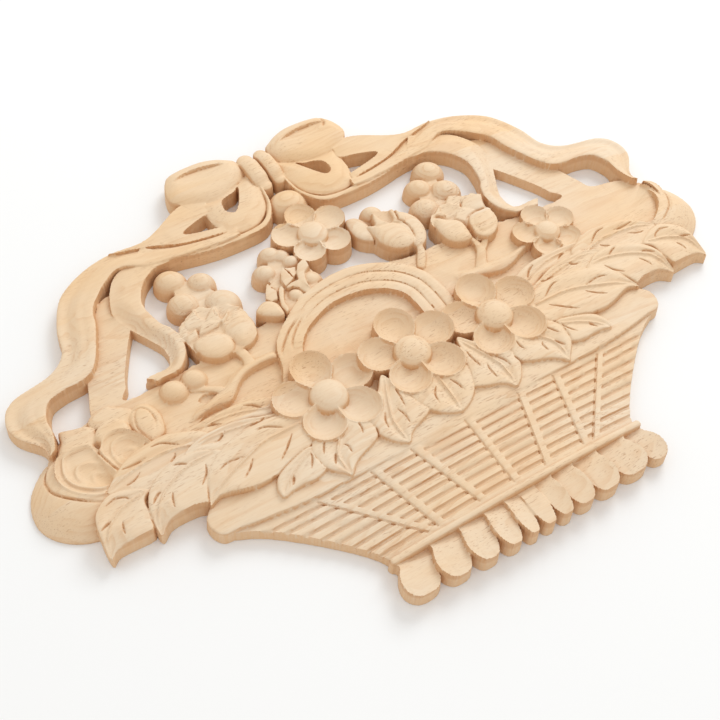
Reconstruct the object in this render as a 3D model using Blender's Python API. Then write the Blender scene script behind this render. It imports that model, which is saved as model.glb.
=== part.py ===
"""Carved wood applique: a basket of flowers and fruit under a ribbon bow.

One board, carved on its face and sawn through between the carvings, flat on its back.
It lies face up with its back on z = 0. X runs along the basket's rim and Y up towards
the bow, as it would hang. The origin is on the back, behind the plain panel inside the
handle.
The carving is worked out in millimetres, as a height over an even grid, and the mesh
is made from it in metres.
"""
import math

import bmesh
import bpy
import numpy as np

MM = 0.001

# Driving dimensions, in millimetres
HALF_WIDTH = 214.0
HALF_HEIGHT = 158.0
GRID_STEP = 1.0
GROUND_TOP = 6.8
LEDGE_TOP = 4.6
RIM_MIDDLE = 13.0
RIM_FALL = 4.2
OUTER_CREST = 11.3
OUTER_EDGE = 7.5
INNER_CREST = 9.8
INNER_SLOPE = 1.6
RIBBON_LIP = 1.2
CREST_ROUND = 0.9
LOWER_LOOP_TOP = 11.5
LOWER_LOOP_ARCH = 1.5
LOOP_TOP = 12.8
LOOP_ARCH = 2.5
LOOP_EDGE = 4.0
KNOT_TOP = 14.2
KNOT_CROWN = 2.0
KNOT_ROLLS = ((-7.4, 5.6), (3.2, 4.8))
FLOWER_RIM = 16.0
BERRY_FOOT = 3.2
BERRY_SQUASH = 0.91
BERRY_TURN = -32.0
STRIP_TOP = 9.3
EAR_TOP = 11.0
EAR_EDGE_FALL = 9.5
EAR_EDGE_WIDTH = 20.0
EAR_RISE = 3.6
BED_TOP = 9.4
HANDLE_TOP = 11.0
REEDS = 3
REED_FOOT = 1.1
REED_RISE = 1.5
REED_LEAN = 0.5
BRANCH_RISE = 2.4
BRANCH_ROUND = 1.6
RIM_LEAF_RISE = 2.4
WEAVE_STEP = 0.5
WEAVE_SINK = 2.0
BODY_HALF = 140.0
FOOT_HALF = 75.0
FACET_CLIMB = 2.3
FACET_BEND = 0.4
FACET_STEP = 0.9
BEAD_Y = -129.3
BEAD_ENDS = (-75.0, 76.0)
BEAD_HALF = 2.3
BEAD_SINK = 0.3
BEAD_CROWN = 1.9

# Working depths below the back: what is sawn away, and the foot of the uncut block
VOID = -8.0
BLOCK_FOOT = -12.0
TRIANGLES = 8300

# How leaves are gouged: the rise of the rib side, and how far from the tip they bend down
RIB_RISE = 0.8
RIB_HALF = 1.2
LEAF_BELLY = 0.7
LEAF_ROLL = 0.5
LEAF_HOLLOW = 0.9
TIP_REACH = 17.0
RIM_LEAF_DROOP = 0.8

# Ground: the sawn board that everything stands on, right half
GROUND_EDGE = [(-2, 34), (20, 33), (40, 29), (62, 28.5), (80, 26), (100, 25), (112, 22.5),
               (143.5, 21.5), (140.5, 29), (137, 37.5), (127.5, 54), (119, 68), (118, 80),
               (120, 90), (130, 88), (138, 76), (147, 62), (156, 50), (157.2, 42), (162.5, 27.5),
               (166, 20), (178, 17), (185, 14.5), (193, 8), (199, -2), (200, -16), (188, -32),
               (160, -40), (100, -45), (-2, -50)]
# Strip of board that carries the bow, right half
STRIP_EDGE = [(45, 131), (55, 130), (65, 127), (88, 115.2), (112, 115.8), (88, 108.5),
              (70, 101), (50, 97.3), (42, 96.2), (42, 101), (45, 102), (66, 107.5),
              (56, 112.5), (44, 116), (44, 124)]

# Outer ribbon, from the bow to the curl above the ear
OUTER_FAR = [(40, 103), (50, 102), (72, 107), (84, 112.5), (95, 115.8), (112, 116.6),
             (130, 112), (147, 101), (157.2, 82), (161.5, 65), (172, 55.8), (191, 51.6),
             (197, 49), (201.5, 44.5), (204, 37), (203.2, 30), (200.3, 24.5), (193, 15),
             (193, 7.5)]
OUTER_NEAR = [(38, 90), (45, 89.2), (60, 90.2), (84, 93.2), (96, 95.5), (109.5, 101.5),
              (121.5, 95.5), (132, 85.5), (135.5, 79), (138, 70), (148, 49), (157, 41.5),
              (171, 39.8), (180, 36.5), (184.3, 27), (184.3, 20), (187, 10), (191, 6.5)]
# Inner ribbon, which leaves the outer one and ends as a tail beside the fruit
INNER_FAR = [(92, 112), (104, 104), (113, 100.5), (119, 95), (124.5, 85), (127, 75),
             (124, 64.5), (114.5, 45.5), (112.8, 39), (113.5, 33), (117, 29), (130.5, 27)]
INNER_NEAR = [(76, 92.6), (91, 92.3), (97, 89.8), (103, 85), (107.5, 78), (109.5, 70),
              (107, 56.5), (103.5, 50.5), (101.5, 44), (101.5, 38), (103.5, 31), (108, 25),
              (113, 21.8), (126, 21)]

# Bow, right half, measured from its knot
BOW_SHIFT = -1.8
UPPER_LOOP = [(10, 145), (14, 149.8), (30, 156.6), (50, 155.6), (57, 149.5), (60.5, 141),
              (61, 134.5), (58, 130), (52, 126.5), (37, 123), (20, 127.5), (10, 136)]
LOWER_LOOP = [(8, 137), (14, 131), (32, 125), (42, 124.5), (47, 125), (47, 112), (44, 94),
              (31, 90.4), (24, 92), (12, 102), (7, 120)]
LOOP_HOLE = [(22.5, 122), (30, 121), (34, 117.5), (33.5, 108.5), (30.5, 107), (27, 110)]
LOOP_STRIP = [(6.8, 118, 1.0, 10.0), (11, 99.5, 1.8, 10.3), (17, 93.5, 2.0, 10.4),
              (25, 90.2, 2.1, 10.4), (45, 89.9, 2.2, 10.4), (84, 94.5, 2.0, 9.6)]

# Arched handle, from behind the left flower to behind the right one
HANDLE_FAR = [(-73, -18), (-69.3, -12), (-66.5, -7), (-64.3, -2.5), (-63, 3), (-61.5, 8.5),
              (-56, 16.5), (-38, 30), (-28, 34.5), (-8, 38.3), (10, 36), (28, 26.5), (38, 14),
              (41, 4), (41.8, -8), (41, -24)]
HANDLE_NEAR = [(-60, -20), (-57, -14), (-52.5, -6), (-49.5, -1), (-47.5, 3), (-42, 9),
               (-35, 13.5), (-20, 19), (-3, 18.6), (8, 14.8), (15, 9.8), (19.3, 3), (20.3, -8),
               (20.5, -24)]

# Ear: the disc behind the outermost leaf, right half
EAR_EDGE = [(190, 8), (198, 7), (209, -5), (212, -21), (204.5, -34.5), (189, -42.5),
            (170, -40), (160, -20), (170, 0)]
# Wood under the leaves, right half, inside the outline that the leaves make
LEAF_BED = [(0, -20), (62, -12), (90, -15), (125, -15), (150, -13), (163, -18), (174, -27),
            (181, -32), (186, -40), (187, -52), (166, -53), (158, -53), (134, -55),
            (110, -60), (74, -52), (0, -50)]
# Leaves of the right half, lowest first: outline, midrib from the tip, height, drop at the tip
LEAVES = [
    ([(78, -20), (82, -15.5), (97, -11.6), (124, -12.5), (132, -17), (128, -22), (110, -22),
      (95, -24), (84, -28)],
     [(130, -17), (115, -16), (100, -17), (82, -23)], 9.8, 0.0),
    ([(176.5, -26.5), (170, -20), (158, -12.6), (141, -10.1), (133, -11.2), (126, -14.5),
      (118, -20), (120, -32), (135, -38), (150, -38), (158, -37.5), (170, -30.3)],
     [(176, -26.5), (165, -22.5), (143, -20), (128, -23)], 11.2, 1.2),
    ([(134.5, -28), (131, -24.5), (122, -21.7), (110, -21.2), (100, -22.7), (91, -26),
      (80, -31), (90, -44), (117, -37.5), (122, -33), (128, -28.7)],
     [(133, -27.5), (120, -25), (96, -28), (84, -33)], 12.2, 0.0),
    ([(158, -36), (165, -31), (172, -28.5), (178, -28.7), (187, -36), (189.8, -51),
      (189.3, -59.3), (186.3, -57.3), (182, -56.2), (168, -56.5), (164.5, -55), (163, -48),
      (162, -40)],
     [(189, -59), (187, -51), (181.5, -43.5), (173, -38.5), (163, -36)], 12.0, 4.8),
    ([(117, -36), (122, -31.5), (128, -28.2), (138, -27), (147, -29.4), (155, -33.8),
      (160, -39), (163, -46), (164.4, -54), (163, -60.2), (156, -55.8), (143, -55.6),
      (134, -57.5), (128, -50)],
     [(163, -60), (161, -52), (155, -44), (146, -38), (134, -34), (122, -33)], 13.0, 5.0),
    ([(136.3, -59.5), (134, -52), (129, -43), (120, -36), (110, -31.7), (98, -30), (84, -31),
      (74, -36), (69, -45), (73, -53), (80, -57), (90, -60.3), (110, -62.4), (126, -58.2),
      (131, -57.6)],
     [(136, -59.3), (130, -54.5), (100, -42.6), (76, -41.5)], 14.0, 2.6),
]
# Leaves that hang over the rim: outline and midrib from the tip
RIM_LEAVES = [
    ([(78, -56), (90, -58), (100, -62), (104.6, -70.5), (103.2, -74.5), (98, -73.4),
      (92, -73.1), (86, -73.8), (80, -72.7), (76.5, -70), (76, -64)],
     [(103, -74), (97, -68), (89, -63), (80, -59)]),
    ([(44, -60), (46, -69), (61, -75.2), (68.6, -81.2), (71, -78.7), (78, -70.3), (79, -59),
      (74, -53), (60, -50), (48, -52)],
     [(68.6, -81), (69.6, -73.5), (68.3, -66.5), (60, -56)]),
    ([(44, -58), (44, -65), (44.7, -68.7), (39, -77.3), (33.5, -80.4), (30, -76.7),
      (26, -74.3), (16, -70.5), (14, -68), (17, -60), (20, -50), (24, -38), (31, -45)],
     [(33.8, -79.8), (34.7, -71), (33.7, -63), (24, -41)]),
]
RIM_CENTRE = ([(-17, -52), (-18, -59), (-13, -71), (-7, -76), (0, -78.7), (7, -76), (13, -71),
               (18, -59), (17, -52), (0, -45)],
              [(0, -78.5), (0.5, -68), (0.5, -55)])
# Berries: centre, radius and top
BERRIES = [
    (-89.0, 81.4, 9.9, 12.2), (-74.6, 72.0, 8.8, 12.2), (-90.2, 62.4, 9.8, 12.8),
    (-70.6, 53.4, 11.0, 12.6), (-31.0, 69.4, 7.8, 12.0), (-26.4, 66.0, 6.8, 11.4),
    (-40.4, 59.0, 7.8, 12.2), (-23.4, 58.4, 6.7, 12.2), (-20.2, 42.6, 7.9, 11.6),
    (-33.6, 35.6, 6.4, 12.2), (85.6, 79.8, 10.3, 12.4), (72.4, 70.5, 9.2, 12.4),
    (85.8, 61.4, 10.2, 12.6), (66.8, 54.6, 9.9, 12.6), (36.8, 67.2, 7.6, 11.8),
    (-1.2, 100.8, 12.4, 12.4), (-120.6, 12.8, 8.9, 12.6), (-108.2, 14.2, 8.3, 12.6)]
# Wood that holds each bunch together: outline and top
WEBS = [
    ([(-87, 79), (-78, 74), (-70, 62), (-66, 50), (-88, 50), (-93, 64)], 8.0),
    ([(-32, 68), (-26, 64), (-21, 56), (-19, 48), (-38, 44), (-41, 56)], 8.4),
    ([(84, 79), (87, 64), (88, 50), (68, 48), (66, 56), (72, 70)], 8.0),
    ([(22, 66), (27, 68), (36, 64), (44, 60), (50, 40), (44, 32), (32, 36), (24, 50)], 6.6),
    ([(-97, 49.6), (-90, 53.6), (-79, 52), (-71, 48), (-64, 43), (-63, 30), (-66, 21),
      (-76, 17.5), (-90, 17.5), (-99, 24), (-101, 32), (-102, 44)], 11.2),
    ([(-50, 40), (-44.5, 48.5), (-37, 52), (-31, 54.5), (-24, 53.5), (-17.5, 52), (-16, 44),
      (-18, 37), (-26, 31), (-36, 29), (-44, 25), (-48, 32)], 11.0),
    ([(62, 42), (68, 48.5), (75, 51), (82, 53.4), (92, 48.6), (99, 44.4), (98, 34), (95, 20),
      (84, 15.5), (72, 19), (63, 25), (61.4, 34)], 11.2)]
# Larger fruit: outline, foot, top, and how far in from the edge it is rounded
FRUIT = [
    ([(-71, 43.6), (-66, 42), (-63, 36), (-62.6, 29.5), (-64.6, 23.6), (-69.5, 18.5),
      (-75, 17.4), (-79, 21), (-80, 26), (-81.5, 32), (-80.5, 37.4), (-76, 40)],
     8.6, 13.0, 9.0),
    ([(-99, 33), (-94.5, 35.3), (-89.5, 35.6), (-84.5, 34.2), (-80.2, 30), (-78.6, 24.5),
      (-80.2, 19.6), (-84, 17), (-89, 16.4), (-93.5, 18.2), (-97.3, 21.6), (-99.8, 26.5)],
     11.6, 13.6, 4.0),
    ([(-59.8, 34.6), (-56.5, 37.6), (-51.5, 39.2), (-47.6, 37), (-45.4, 33), (-45.2, 28),
      (-46.6, 24.4), (-50.4, 25), (-55, 28), (-58.6, 31)], 10.0, 13.6, 4.5),
    ([(45, 62.5), (50, 60), (54, 56.5), (57.2, 50.5), (57.6, 43), (55.4, 36), (51.5, 31.5),
      (48, 30), (44, 31), (40, 42), (40, 56)], 9.2, 12.0, 6.0),
    ([(19, 69), (24.5, 69), (28, 65.5), (29.5, 59.5), (29, 53), (26, 47), (22, 49),
      (18.5, 53), (17, 58), (17.5, 64)], 8.6, 11.4, 4.5),
    ([(33.6, 56.6), (35, 65), (40, 64), (45, 61.6), (49, 58), (48, 49), (40, 48)],
     10.0, 12.4, 3.0),
    ([(26.6, 57.6), (32, 56), (38, 54.6), (43, 52.2), (46, 48), (47, 41.5), (46.2, 35),
      (43, 32.2), (38.5, 31.6), (33.5, 33.6), (29.4, 37.6), (26.6, 43), (26.4, 50)],
     10.0, 14.4, 8.0),
    ([(62.4, 42.2), (66.5, 42.8), (69.8, 39.8), (72.5, 37.2), (75.5, 35.8), (78, 31.5),
      (77.6, 25), (76.4, 19.4), (73.5, 18), (69.5, 18.2), (65, 20.4), (61.8, 24.4),
      (60.6, 30), (60.8, 36.5)], 10.0, 14.0, 6.0),
    ([(97.3, 34.6), (98.3, 29), (97, 23), (94.3, 18.8), (90, 15.4), (86, 14),
      (82.2, 14.6), (79.4, 17.4), (78, 20.8), (78.4, 25), (80, 30), (83, 33.6),
      (88, 35), (92.8, 34.6)], 11.6, 13.8, 3.0)]
# Recesses beside the handle, and the branches along them: upper and lower edge
LEDGES = [
    [(-114, -8.5), (-106, -7.5), (-98.5, -8), (-94.5, -6), (-90, -1.5), (-83.5, 2.6),
     (-75, 4.4), (-67, 4.4), (-62.6, 3), (-64.5, -3), (-66.5, -8), (-69.5, -14),
     (-80, -24), (-110, -26), (-122, -16)],
    [(62, -4.5), (70, -6), (78.5, -7.6), (86.5, -6.6), (94, -3.8), (101, -1.4),
     (107, 0), (112, -8), (112, -16), (100, -22), (80, -24), (64, -18)]]
BRANCHES = [
    ([(-124, -7), (-116, -3.5), (-108.5, -1.5), (-101.5, 1), (-95, 3.8), (-91, 6.7),
      (-83, 9.7), (-75.5, 10.2), (-67, 10.4), (-60, 9.5)],
     [(-124, -11), (-114, -8), (-105.5, -7), (-98, -7.7), (-93.8, -5.2), (-89.5, -1),
      (-83, 3), (-75, 4.7), (-67, 4.7), (-61, 3)]),
    ([(52, 6), (63, 2.8), (68.5, 3), (73, 2.6), (82, 2), (89.5, 1.4), (95, 1.8),
      (100.5, 3.4), (107.5, 1)],
     [(52, -3), (64.5, -4.5), (70.5, -6), (78.5, -7.5), (86.5, -6.5), (94, -3.5), (101, -1),
      (107, -0.5)])]
# Stems: x, y, half width and edge height
STEM_CROWN = 1.5
STEMS = [
    [(-112, 9.5, 1.8, 6.6), (-105, 6, 2.0, 6.8), (-99, 1.5, 2.4, 7.2)],
    [(-79.5, 19.5, 3.2, 8.8), (-77.6, 14, 3.2, 8.2), (-77.5, 8, 3.4, 7.0)],
    [(75.6, 20, 1.8, 9.2), (76.4, 11, 3.0, 8.2), (74, 7, 3.2, 7.6), (70, 1.5, 3.6, 7.0)],
    [(84.8, 17.4, 1.8, 9.2), (81.5, 14.4, 2.2, 8.8), (77.5, 11.4, 2.6, 8.0)],
    [(46.9, 31.5, 2.2, 8.8), (45.4, 27, 2.7, 8.4), (43, 23.3, 2.9, 7.8), (40.4, 19.4, 2.8, 7.0)]]

# Flowers: centre, reach of the petals across and up, half width of a petal, height of its
# rim, depth of its bowl, radius of the ball and its top
PETAL_TURNS = (18.0, 162.0, 234.0, 306.0, 90.0)
PETAL_TILT = 0.05
BOWL_CURVE = 2.6
WEDGE = 1.2
FLOWERS = [
    (-54.0, -33.6, 30.4, 29.8, 11.7, FLOWER_RIM, 6.0, 11.0, 18.2),
    (52.2, -34.2, 30.4, 29.8, 11.7, FLOWER_RIM, 6.0, 11.0, 18.2),
    (-0.8, -32.2, 30.4, 29.8, 11.7, FLOWER_RIM + 0.6, 6.0, 11.0, 18.7)]
SMALL_FLOWERS = [
    (-2.2, 70.6, 25.2, 24.0, 9.9, 12.6, 4.3, 9.4, 14.2),
    (118.0, 2.6, 22.2, 21.0, 9.0, 12.0, 4.2, 7.9, 13.4)]

# Basket, right half of its outline: the body and the plain rim over it
BODY_SIDE = [(138, -62), (138.5, -70), (133.5, -75.5), (125, -79.8), (117.5, -84.6),
             (109.5, -91), (100, -99.4), (91, -108), (84, -115.4), (79, -121.6), (76, -127),
             (75.4, -132)]
RIM_SIDE = [(120, -54), (134, -57), (140.5, -62), (141.8, -67), (140.5, -72), (137, -75.5),
            (130, -76), (118, -78.2), (105, -80), (90, -81.3), (70, -82)]

# Lower end of the basket: band behind the bead, and the notches between the scallops
FOOT_BAND = [(-74, -125), (75, -125), (75, -140), (-74, -140)]
NOTCHES = [-79.0, -59.3, -41.7, -26.0, -13.0, -3.3, 6.9, 17.7, 32.0, 48.6, 68.0, 81.5]

# Left ear: raised lobes with foot, top and rounding, then bowls with rim, depth and reach
EAR_LOBES = [
    ([(-165, 20.5), (-159.5, 22.3), (-154.5, 22.5), (-151, 20), (-144, 13.5), (-148, 8),
      (-150, 4.5), (-156, 8), (-165, 11), (-168, 16.5)], 7.5, 10.2, 6.0),
    ([(-183.5, 18.5), (-181.5, 20), (-174.5, 18), (-169, 16.6), (-165.3, 12.5), (-167, 8),
      (-169.5, 3), (-176, 2), (-184, 2), (-189, 4.5), (-187.8, 9), (-184.5, 13)],
     7.0, 10.4, 5.0),
    ([(-169, 6), (-166.2, 10.3), (-162, 12.9), (-156, 13), (-151.5, 10), (-149.5, 4.5),
      (-151, 0), (-160, 0), (-167, 1)], 8.5, 11.4, 4.0),
    ([(-149, 8.5), (-146.5, 12.3), (-141.5, 15), (-136.5, 13), (-133.5, 8), (-132.8, 0.5),
      (-136, -8), (-144, -11.5), (-148, -5), (-150, 3)], 7.5, 11.0, 8.0)]
EAR_BOWLS = [
    ([(-189.5, 4.5), (-193, -0.5), (-194.3, -7), (-192.5, -14), (-187, -21), (-179, -26),
      (-170, -26), (-165, -20), (-168, -10), (-170, 2), (-176, 6), (-184, 6)],
     12.4, 3.8, 8.0),
    ([(-170.2, -5), (-168, 0.3), (-163.8, 4.4), (-158.5, 5), (-153, 2.9), (-148.3, -2.2),
      (-145.5, -8), (-145, -12), (-151, -15), (-157, -17), (-163, -18), (-167, -19),
      (-168.5, -11.5)], 12.6, 3.6, 7.0)]
# Right ear: flat ground up to a raised rim
EAR_GROUND = [(165, 12), (191.5, 5), (193, -1), (193, -6), (190.5, -12.5), (185.2, -18.3),
              (176, -23.5), (160, -24)]
RIM_FOOT = [(191.5, 4.5), (193, -1), (193, -6), (190.5, -12.5), (185.2, -18.3), (176, -23.5)]
RIM_OUTSIDE = [(196.5, 6), (200.3, 0), (200.8, -6), (198.5, -13.5), (193, -20.5), (186, -26),
               (177, -30)]


def smooth(t):
    """Soft step from 0 to 1."""
    t = np.clip(t, 0.0, 1.0)
    return t * t * (3.0 - 2.0 * t)


def curve(points, closed=False, spacing=1.5):
    """Smooth curve through points, which may carry more columns than x and y."""
    p = np.array(points, float)
    spans = len(p) if closed else len(p) - 1
    if closed:
        p = np.vstack([p[-1], p, p[0], p[1]])
    else:
        p = np.vstack([2.0 * p[0] - p[1], p, 2.0 * p[-1] - p[-2]])
    rows = []
    for a, b, c, d in zip(p[:spans], p[1:], p[2:], p[3:]):
        count = max(2, int(np.hypot(*(c - b)[:2]) / spacing) + 1)
        t = np.linspace(0.0, 1.0, count, endpoint=False)[:, None]
        bend = (2.0 * a - 5.0 * b + 4.0 * c - d) * t ** 2
        twist = (3.0 * b - a - 3.0 * c + d) * t ** 3
        rows.append(0.5 * (2.0 * b + (c - a) * t + bend + twist))
    if not closed:
        rows.append(p[-2][None])
    return np.vstack(rows)


def nearest(path, x, y):
    """Distance to a path, the side of it, and the row of the nearest place on it."""
    best = np.full(x.shape, 1e9)
    side = np.zeros(x.shape)
    row = np.zeros(x.shape)
    for i, (a, b) in enumerate(zip(path[:-1, :2], path[1:, :2])):
        dx, dy = b - a
        length = dx * dx + dy * dy
        if length == 0.0:
            continue
        t = np.clip(((x - a[0]) * dx + (y - a[1]) * dy) / length, 0.0, 1.0)
        ex = x - a[0] - t * dx
        ey = y - a[1] - t * dy
        square = ex * ex + ey * ey
        closer = square < best
        best = np.where(closer, square, best)
        side = np.where(closer, dx * ey - dy * ex, side)
        row = np.where(closer, i + t, row)
    return np.sqrt(best), np.sign(side), row


def depth_inside(path, x, y):
    """Distance to a closed outline, positive inside it and negative outside."""
    ring = np.vstack([path, path[:1]])
    distance = nearest(ring, x, y)[0]
    odd = np.zeros(x.shape, bool)
    for (ax, ay), (bx, by) in zip(ring[:-1, :2], ring[1:, :2]):
        if ay != by:
            crossing = (bx - ax) * (y - ay) / (by - ay) + ax
            odd ^= ((ay > y) != (by > y)) & (x < crossing)
    return np.where(odd, distance, -distance)


def mirrored(points, side):
    """Points of the right half as they are, or carried over to the left half."""
    return [(side * point[0],) + tuple(point[1:]) for point in points]


class Relief:
    """Heights of the carving over an even grid; what is sawn away lies at VOID."""

    def __init__(self, step):
        self.step = step
        self.cliff = -VOID / step
        self.x_line = np.arange(-HALF_WIDTH, HALF_WIDTH + step / 2, step)
        self.y_line = np.arange(-HALF_HEIGHT, HALF_HEIGHT + step / 2, step)
        self.x, self.y = np.meshgrid(self.x_line, self.y_line)
        self.z = np.full(self.x.shape, VOID)

    def window(self, points, margin=3.0):
        """The part of the grid around some points."""
        p = np.asarray(points, float)
        left = np.searchsorted(self.x_line, p[:, 0].min() - margin)
        right = np.searchsorted(self.x_line, p[:, 0].max() + margin)
        low = np.searchsorted(self.y_line, p[:, 1].min() - margin)
        high = np.searchsorted(self.y_line, p[:, 1].max() + margin)
        part = (slice(low, high), slice(left, right))
        return part, self.x[part], self.y[part]

    def wall(self, depth):
        """Height of a sawn wall, which stands on its outline."""
        return self.cliff * (depth + 0.5 * self.step)

    def add(self, part, height, depth):
        """Join a raised piece to what is there."""
        raised = np.minimum(height, self.wall(depth))
        self.z[part] = np.maximum(self.z[part], raised)

    def cover(self, part, height, depth):
        """Lay a surface over what is there, also where it is lower."""
        share = np.clip(depth / self.step + 0.5, 0.0, 1.0)
        self.z[part] += share * (height - self.z[part])

    def cut(self, outline):
        """Saw an outline right through."""
        part, x, y = self.window(outline)
        depth = depth_inside(outline, x, y)
        self.z[part] = np.minimum(self.z[part], np.maximum(VOID, self.wall(-depth)))

    def slab(self, outline, top, edge=0.0, drop=0.0):
        """Raised outline with a top that may fall away towards its edge."""
        part, x, y = self.window(outline)
        depth = depth_inside(outline, x, y)
        height = top(x, y) if callable(top) else np.full(x.shape, top)
        if edge:
            height = height - drop * (1.0 - np.clip(depth / edge, 0.0, 1.0)) ** 2
        self.add(part, height, depth)

    def lower(self, outline, top):
        """Flat recess laid over what is there."""
        part, x, y = self.window(outline)
        self.cover(part, top, depth_inside(outline, x, y))

    def ribbon(self, edge_a, edge_b, height):
        """Band between two edges; height takes t, from -1 on edge a to 1 on edge b."""
        a = curve(edge_a)
        b = curve(edge_b)
        outline = np.vstack([a, b[::-1]])
        part, x, y = self.window(outline)
        depth = depth_inside(outline, x, y)
        from_a, _, row = nearest(a, x, y)
        from_b = nearest(b, x, y)[0]
        t = (from_a - from_b) / np.maximum(from_a + from_b, 1e-3)
        self.add(part, height(t, row / (len(a) - 1)), depth)

    def roll(self, rows, crown):
        """Rounded cord of wood; rows of x, y, half width and edge height."""
        path = curve(rows)
        part, x, y = self.window(path, path[:, 2].max() + 2.0)
        distance, _, row = nearest(path, x, y)
        index = np.arange(len(path))
        half = np.interp(row, index, path[:, 2])
        foot = np.interp(row, index, path[:, 3])
        round_top = np.sqrt(np.clip(1.0 - (distance / half) ** 2, 0.0, 1.0))
        self.add(part, foot + crown * round_top, half - distance)

    def oval(self, x, y, centre, radii, turn):
        """How far out a place lies on an oval, 1 on its rim, and how far along its length."""
        angle = math.radians(turn)
        dx = x - centre[0]
        dy = y - centre[1]
        along = (dx * math.cos(angle) + dy * math.sin(angle)) / radii[0]
        across = (dy * math.cos(angle) - dx * math.sin(angle)) / radii[1]
        return np.hypot(along, across), along

    def oval_window(self, centre, radii):
        """The part of the grid around an oval."""
        reach = max(radii)
        corners = [(centre[0] - reach, centre[1] - reach), (centre[0] + reach, centre[1] + reach)]
        return self.window(corners)

    def dome(self, centre, radii, foot, top, turn=0.0):
        """Rounded lump, such as a berry."""
        part, x, y = self.oval_window(centre, radii)
        out, _ = self.oval(x, y, centre, radii, turn)
        height = foot + (top - foot) * np.sqrt(np.clip(1.0 - out ** 2, 0.0, 1.0))
        self.add(part, height, (1.0 - out) * min(radii))

    def pillow(self, points, foot, top, reach):
        """Raised outline that is rounded over some millimetres from its edge."""
        outline = curve(points, closed=True)
        part, x, y = self.window(outline)
        depth = depth_inside(outline, x, y)
        bend = 1.0 - np.clip(depth / reach, 0.0, 1.0)
        self.add(part, foot + (top - foot) * np.sqrt(1.0 - bend ** 2), depth)

    def spoon(self, outline, rim, bowl, reach, laid, tilt=0.0, centre=(0.0, 0.0)):
        """Hollow that curves down from its rim; tilt lifts it away from a centre."""
        part, x, y = self.window(outline)
        depth = depth_inside(outline, x, y)
        bend = 1.0 - np.clip(depth / reach, 0.0, 1.0)
        away = np.hypot(x - centre[0], y - centre[1])
        height = rim + tilt * (away - reach) - bowl * (1.0 - bend ** BOWL_CURVE)
        if laid:
            self.cover(part, height, depth)
        else:
            self.add(part, height, depth)

    def blade(self, outline, rib, top, droop):
        """Leaf laid over what is there, gouged on each side of its rib, its tip bent down."""
        edge = curve(outline, closed=True)
        part, x, y = self.window(edge)
        depth = depth_inside(edge, x, y)
        from_rib = nearest(curve(rib), x, y)[0]
        inner = np.maximum(depth, 0.0)
        across = from_rib / np.maximum(inner + from_rib, 1e-3)
        height = top(x, y) if callable(top) else np.full(x.shape, top)
        height = height + LEAF_BELLY * np.sin(math.pi * across)
        height = height - LEAF_HOLLOW * (1.0 - across) ** 2
        height = height + RIB_RISE * np.clip(1.0 - from_rib / RIB_HALF, 0.0, 1.0)
        height = height - LEAF_ROLL * (1.0 - np.clip(inner / RIB_HALF, 0.0, 1.0)) ** 2
        from_tip = np.hypot(x - rib[0][0], y - rib[0][1])
        height = height - droop * (1.0 - smooth(from_tip / TIP_REACH))
        self.cover(part, height, depth)


def rim_height(x, y):
    """Face of the basket, which swells in the middle and is narrower at its foot."""
    half = FOOT_HALF + (BODY_HALF - FOOT_HALF) * smooth((y + 125.0) / 50.0)
    return RIM_MIDDLE - RIM_FALL * np.minimum(np.abs(x) / half, 1.2) ** 2


def weave_height(x, y):
    """Woven panel, which sinks under the rim towards both sides."""
    return rim_height(x, y) - WEAVE_STEP - WEAVE_SINK * smooth((np.abs(x) - 20.0) / 80.0)


def rim_leaf_height(x, y):
    """Leaves that hang over the rim lie on it."""
    return rim_height(x, y) + RIM_LEAF_RISE


def outer_section(t, _):
    """Outer ribbon: a crest along its inner edge, a gouged slope and a thin outer edge."""
    crest = OUTER_EDGE + (OUTER_CREST - OUTER_EDGE) * (1.0 - smooth((0.12 - t) / 0.9))
    edge = RIBBON_LIP * (smooth((-t - 0.35) / 0.5) - smooth((-0.8 - t) / 0.4))
    return crest + edge - CREST_ROUND * smooth((t - 0.75) / 0.4)


def inner_section(t, _):
    """Inner ribbon, highest along the edge of the opening."""
    return INNER_CREST - INNER_SLOPE * smooth((-t - 0.1) / 0.9) + 0.5 * t


def handle_section(t, _):
    """Reeds side by side, each with a steep outer side."""
    place = REEDS * (0.5 + 0.5 * np.clip(t, -1.0, 0.999))
    within = place - np.floor(place)
    reed = REED_RISE * np.sqrt(np.clip(2.2 * within, 0.0, 1.0)) - REED_LEAN * within ** 2
    return HANDLE_TOP - REED_FOOT + reed


def branch_section(t, along):
    """Branch that rises from the ground on one side to a rounded crest near the other."""
    rise = BRANCH_RISE * np.sin(0.5 * math.pi * np.clip(1.0 + t, 0.0, 1.25) / 1.25)
    fade = smooth(along / 0.12) * smooth((1.0 - along) / 0.06)
    outside = BRANCH_ROUND * np.clip((t - 0.3) / 0.7, 0.0, 1.0) ** 2
    return GROUND_TOP + rise * fade - outside


def ear_rim_section(t, _):
    """Raised rim of the plain ear: a slope up from the ground, then a rounded back."""
    up = np.clip((1.0 + t) / 0.8, 0.0, 1.0) ** 1.4
    down = np.clip((t + 0.2) / 1.2, 0.0, 1.0) ** 2
    return GROUND_TOP + EAR_RISE * up - down


def carve_ground(relief):
    """Ground, bow strip and the discs of the ears."""
    for side in (1, -1):
        relief.slab(curve(mirrored(GROUND_EDGE, side), True), GROUND_TOP)
        relief.slab(curve(mirrored(STRIP_EDGE, side), True), STRIP_TOP)
        disc = curve(mirrored(EAR_EDGE, side), True)
        relief.slab(disc, EAR_TOP, EAR_EDGE_WIDTH, EAR_EDGE_FALL)


def carve_ribbons(relief):
    """The two ribbons that run out from the bow on each side."""
    for side in (1, -1):
        relief.ribbon(mirrored(OUTER_FAR, side), mirrored(OUTER_NEAR, side), outer_section)
        relief.ribbon(mirrored(INNER_FAR, side), mirrored(INNER_NEAR, side), inner_section)


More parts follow.
